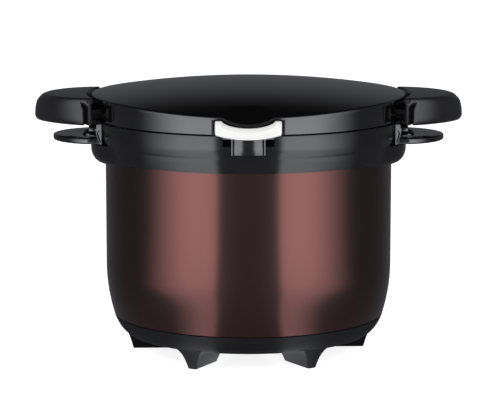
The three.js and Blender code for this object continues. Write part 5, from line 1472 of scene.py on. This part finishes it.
def pot_grip():
    """A deep grip, hollow underneath, on a neck that passes through the lid's recess."""
    rings = [grip_ring(GRIP_FOOT_Z + rise, inset) for inset, rise in edge_arc(GRIP_TREAD_R, (0, 22, 45, 68))]
    rings += [grip_ring(z) for z in spread(GRIP_FOOT_Z + GRIP_TREAD_R, GRIP_TOP_Z - GRIP_CROWN_R, 30)]
    rings += [grip_ring(GRIP_TOP_Z - GRIP_CROWN_R + GRIP_CROWN_R * sin(a), GRIP_CROWN_R * (1 - cos(a)))
              for a in (20, 40, 60, 75, 90)]
    grip = skin("pot_handle_right", rings)
    hollow_outer = half_oval(GRIP_REACH * GRIP_REACH_SHARES[0] - 4.5, GRIP_HALF_W - 9, GRIP_POWERS[2],
                             spread(-56, 56, 40))
    hollow_inner = side_arc(GRIP_HOLLOW_X, hollow_outer[-1][1] - 2.2, 12)
    hollow = plate("hollow", [*hollow_outer, *hollow_inner], GRIP_FOOT_Z - 4, GRIP_HOLLOW_TOP_Z, 1.5)
    cut_out(grip, [hollow])
    seat_z = TONGUE_Z + BRACKET_T + SEAT
    near, far, half = GRIP_BOSS
    boss = box("boss", (near, -half, seat_z), (far, half, GRIP_HOLLOW_TOP_Z + 1.5), 1.5)
    necks = []
    for inner, half, low, high in NECKS:
        outline = [*side_arc(inner, half, 16), (NECK_TURN_X, -NECK_HALF_W), (NECK_END_X, -NECK_HALF_W),
                   (NECK_END_X, NECK_HALF_W), (NECK_TURN_X, NECK_HALF_W)]
        necks.append(plate("neck", outline, low, high, 0.5))
    (near, far), (low, high), turn = NECK_LIP
    lip = rounded([(near, low), (far, low), (far, high), (near, high)], 0.5)
    fused(grip, [boss, *necks, swept("lip", lip, [90 + a for a in spread(-turn, turn, 24)])])
    half, end = BRACKET_HALF_W + SEAT, BAND_R + BRACKET_REACH + SEAT
    room = box("tongue_room", (100, -half, TONGUE_Z - SEAT), (end, half, seat_z), 0.1, CUT_EDGE)
    return cut_out(grip, [room, *grip_bores(190, 210.6)])


def pot_grips():
    both_sides(pot_grip(), "pot_handle_{}", "pot", "black_phenolic")
    for index, y in enumerate((-GRIP_SCREW_Y, GRIP_SCREW_Y)):
        stem = "handle_screw_{}_" + str(index + 1)
        piece = screw(stem.format("right"), 13.7, 2.0, 4.0, 2.4)
        both_sides(set_at(piece, (GRIP_SCREW_X, y, TONGUE_Z - SEAT - 2.4)), stem, "pot", "steel_parts")


# Glass lid of the pot

GLASS_BAND_R = 104.3
GLASS_BAND_Z = 196.3
GLASS_BAND_W = 4.0
GLASS_BAND_T = 0.8
GLASS_R = 103.2
GLASS_RIM_Z = 197.4
GLASS_RISE = 5.0
GLASS_T = 2.0
VENT_X = 60.0
VENT_HOLE_R = 3.0
GLASS_CUT_Z = (190.0, 215.0)  # its holes are cut from below it to above it
VENT_RADII = (2.0, 2.8, 4.0)  # of its bore, its neck and its rims
VENT_RIM_T = 0.6
WASHER_RADII = (1.8, 10.0)
WASHER_HEIGHTS = (204.7, 205.5)
KNOB_Z = 205.8
KNOB_R = 17.0
KNOB_BORE_R = 1.9
KNOB_BORE_D = 5.4


def glass_z(r):
    return GLASS_RIM_Z + GLASS_RISE * (1 - (r / GLASS_R) ** 2)


def glass_lid():
    radii = spread(0, GLASS_R, 24)
    under = [(r, glass_z(r)) for r in radii]
    over = [(r, glass_z(r) + GLASS_T) for r in reversed(radii)]
    edge = [(GLASS_R + 0.15, GLASS_RIM_Z + 0.5), (GLASS_R + 0.15, GLASS_RIM_Z + GLASS_T - 0.5)]
    pane = turned("glass_lid", [*under, *edge, *over], 160, closed=False)
    holes = [bore(SCREW_HOLE_R, *GLASS_CUT_Z), bore(VENT_HOLE_R, *GLASS_CUT_Z, centre=(VENT_X, 0))]
    dress(cut_out(pane, holes), "pot_lid", "clear_glass", "glass_lid")


def glass_band():
    out, low, high = GLASS_BAND_R, GLASS_BAND_Z, GLASS_BAND_Z + GLASS_BAND_W
    foot, inner = GLASS_BAND_Z + GLASS_BAND_T, GLASS_BAND_R - GLASS_BAND_T
    section = rounded([(out - GLASS_BAND_W, low), (out, low), (out, high), (inner, high), (inner, foot),
                       (out - GLASS_BAND_W, foot)], [0.35, 0.8, 0.35, 0.35, 0.1, 0.35])
    dress(turned("glass_lid_band", section), "pot_lid", "steel_parts", "glass_lid_band")


def knob():
    """A flat mushroom with a dished top and a softly waisted stem."""
    top = KNOB_Z + 8
    stem = [(KNOB_BORE_R, 0), (8.6, 0), (9, 0.4), (8.6, 2.2), (9.4, 3.6), (11.5, 4.2), (15.4, 4.6),
            (KNOB_R - 0.3, 5.2), (KNOB_R, 6), (KNOB_R - 0.2, 6.8)]
    dished = [(15.8, 0.3), (14.4, 0), (12.6, 0.25), (8, 0.9), (4, 1.15), (0, 1.2)]
    socket = [(0, KNOB_Z + KNOB_BORE_D), (KNOB_BORE_R, KNOB_Z + KNOB_BORE_D)]
    profile = [*[(r, KNOB_Z + rise) for r, rise in stem], *[(r, top - depth) for r, depth in dished], *socket]
    dress(turned("knob", profile, 96), "pot_lid", "black_phenolic", "knob")


def knob_fixings():
    washer = ring_of("knob_washer", WASHER_RADII, WASHER_HEIGHTS, 0.2, 64)
    dress(washer, "pot_lid", "steel_parts", "knob_washer")
    fixing = set_at(screw("knob_screw", 9.0), (0, 0, glass_z(0) - SEAT - SCREW_HEAD_H))
    dress(fixing, "pot_lid", "steel_parts", "knob_screw")


def steam_vent():
    """A rivet through the glass with a bore."""
    inner, neck, rim = VENT_RADII
    low, high = glass_z(VENT_X) - VENT_RIM_T, glass_z(VENT_X) + GLASS_T + VENT_RIM_T
    foot, top = low - VENT_RIM_T, high + VENT_RIM_T
    profile = rounded([(inner, foot), (rim, foot), (rim, low), (neck, low), (neck, high), (rim, high),
                       (rim, top), (inner, top)], [0.1, 0.3, 0.2, 0, 0, 0.2, 0.3, 0.2])
    dress(turned("steam_vent", profile, 48, centre=(VENT_X, 0)), "pot_lid", "steel_parts", "steam_vent")


# The steel mount ring over the base screws, and the cap that seals the vacuum

MOUNT_RADII = (64.0, 80.0)
MOUNT_HEIGHTS = (20.9, 23.9)
CAP_TOP_Z = 23.9
# Radii of the cap's outline, and depths from its top
CAP_PROFILE = ((0, 1.2), (7.6, 1.2), (8.7, 1.0), (9, 0.6), (9, 0.2), (8.8, 0), (0, 0))


def small_vessel_parts():
    ring = ring_of("base_mount_ring", MOUNT_RADII, MOUNT_HEIGHTS, 0.5, 128)
    dress(ring, "vessel", "steel_parts", "base_mount_ring")
    profile = [(r, CAP_TOP_Z - depth) for r, depth in CAP_PROFILE]
    dress(turned("evacuation_cap", profile, 48, closed=False), "vessel", "steel_parts", "evacuation_cap")


base_cover()
base_fixings()
outer_steel()
inner_steel()
collar()
striker()
carry_handles()
lid_cover()
lid_skirt()
lid_plate()
lid_foam()
lid_screws()
latch_lever()
latch_hook()
latch_pin()
latch_spring()
hinge_pin()
pot_body()
pot_base_disc()
pot_brackets()
pot_grips()
glass_lid()
glass_band()
knob()
knob_fixings()
steam_vent()
small_vessel_parts()
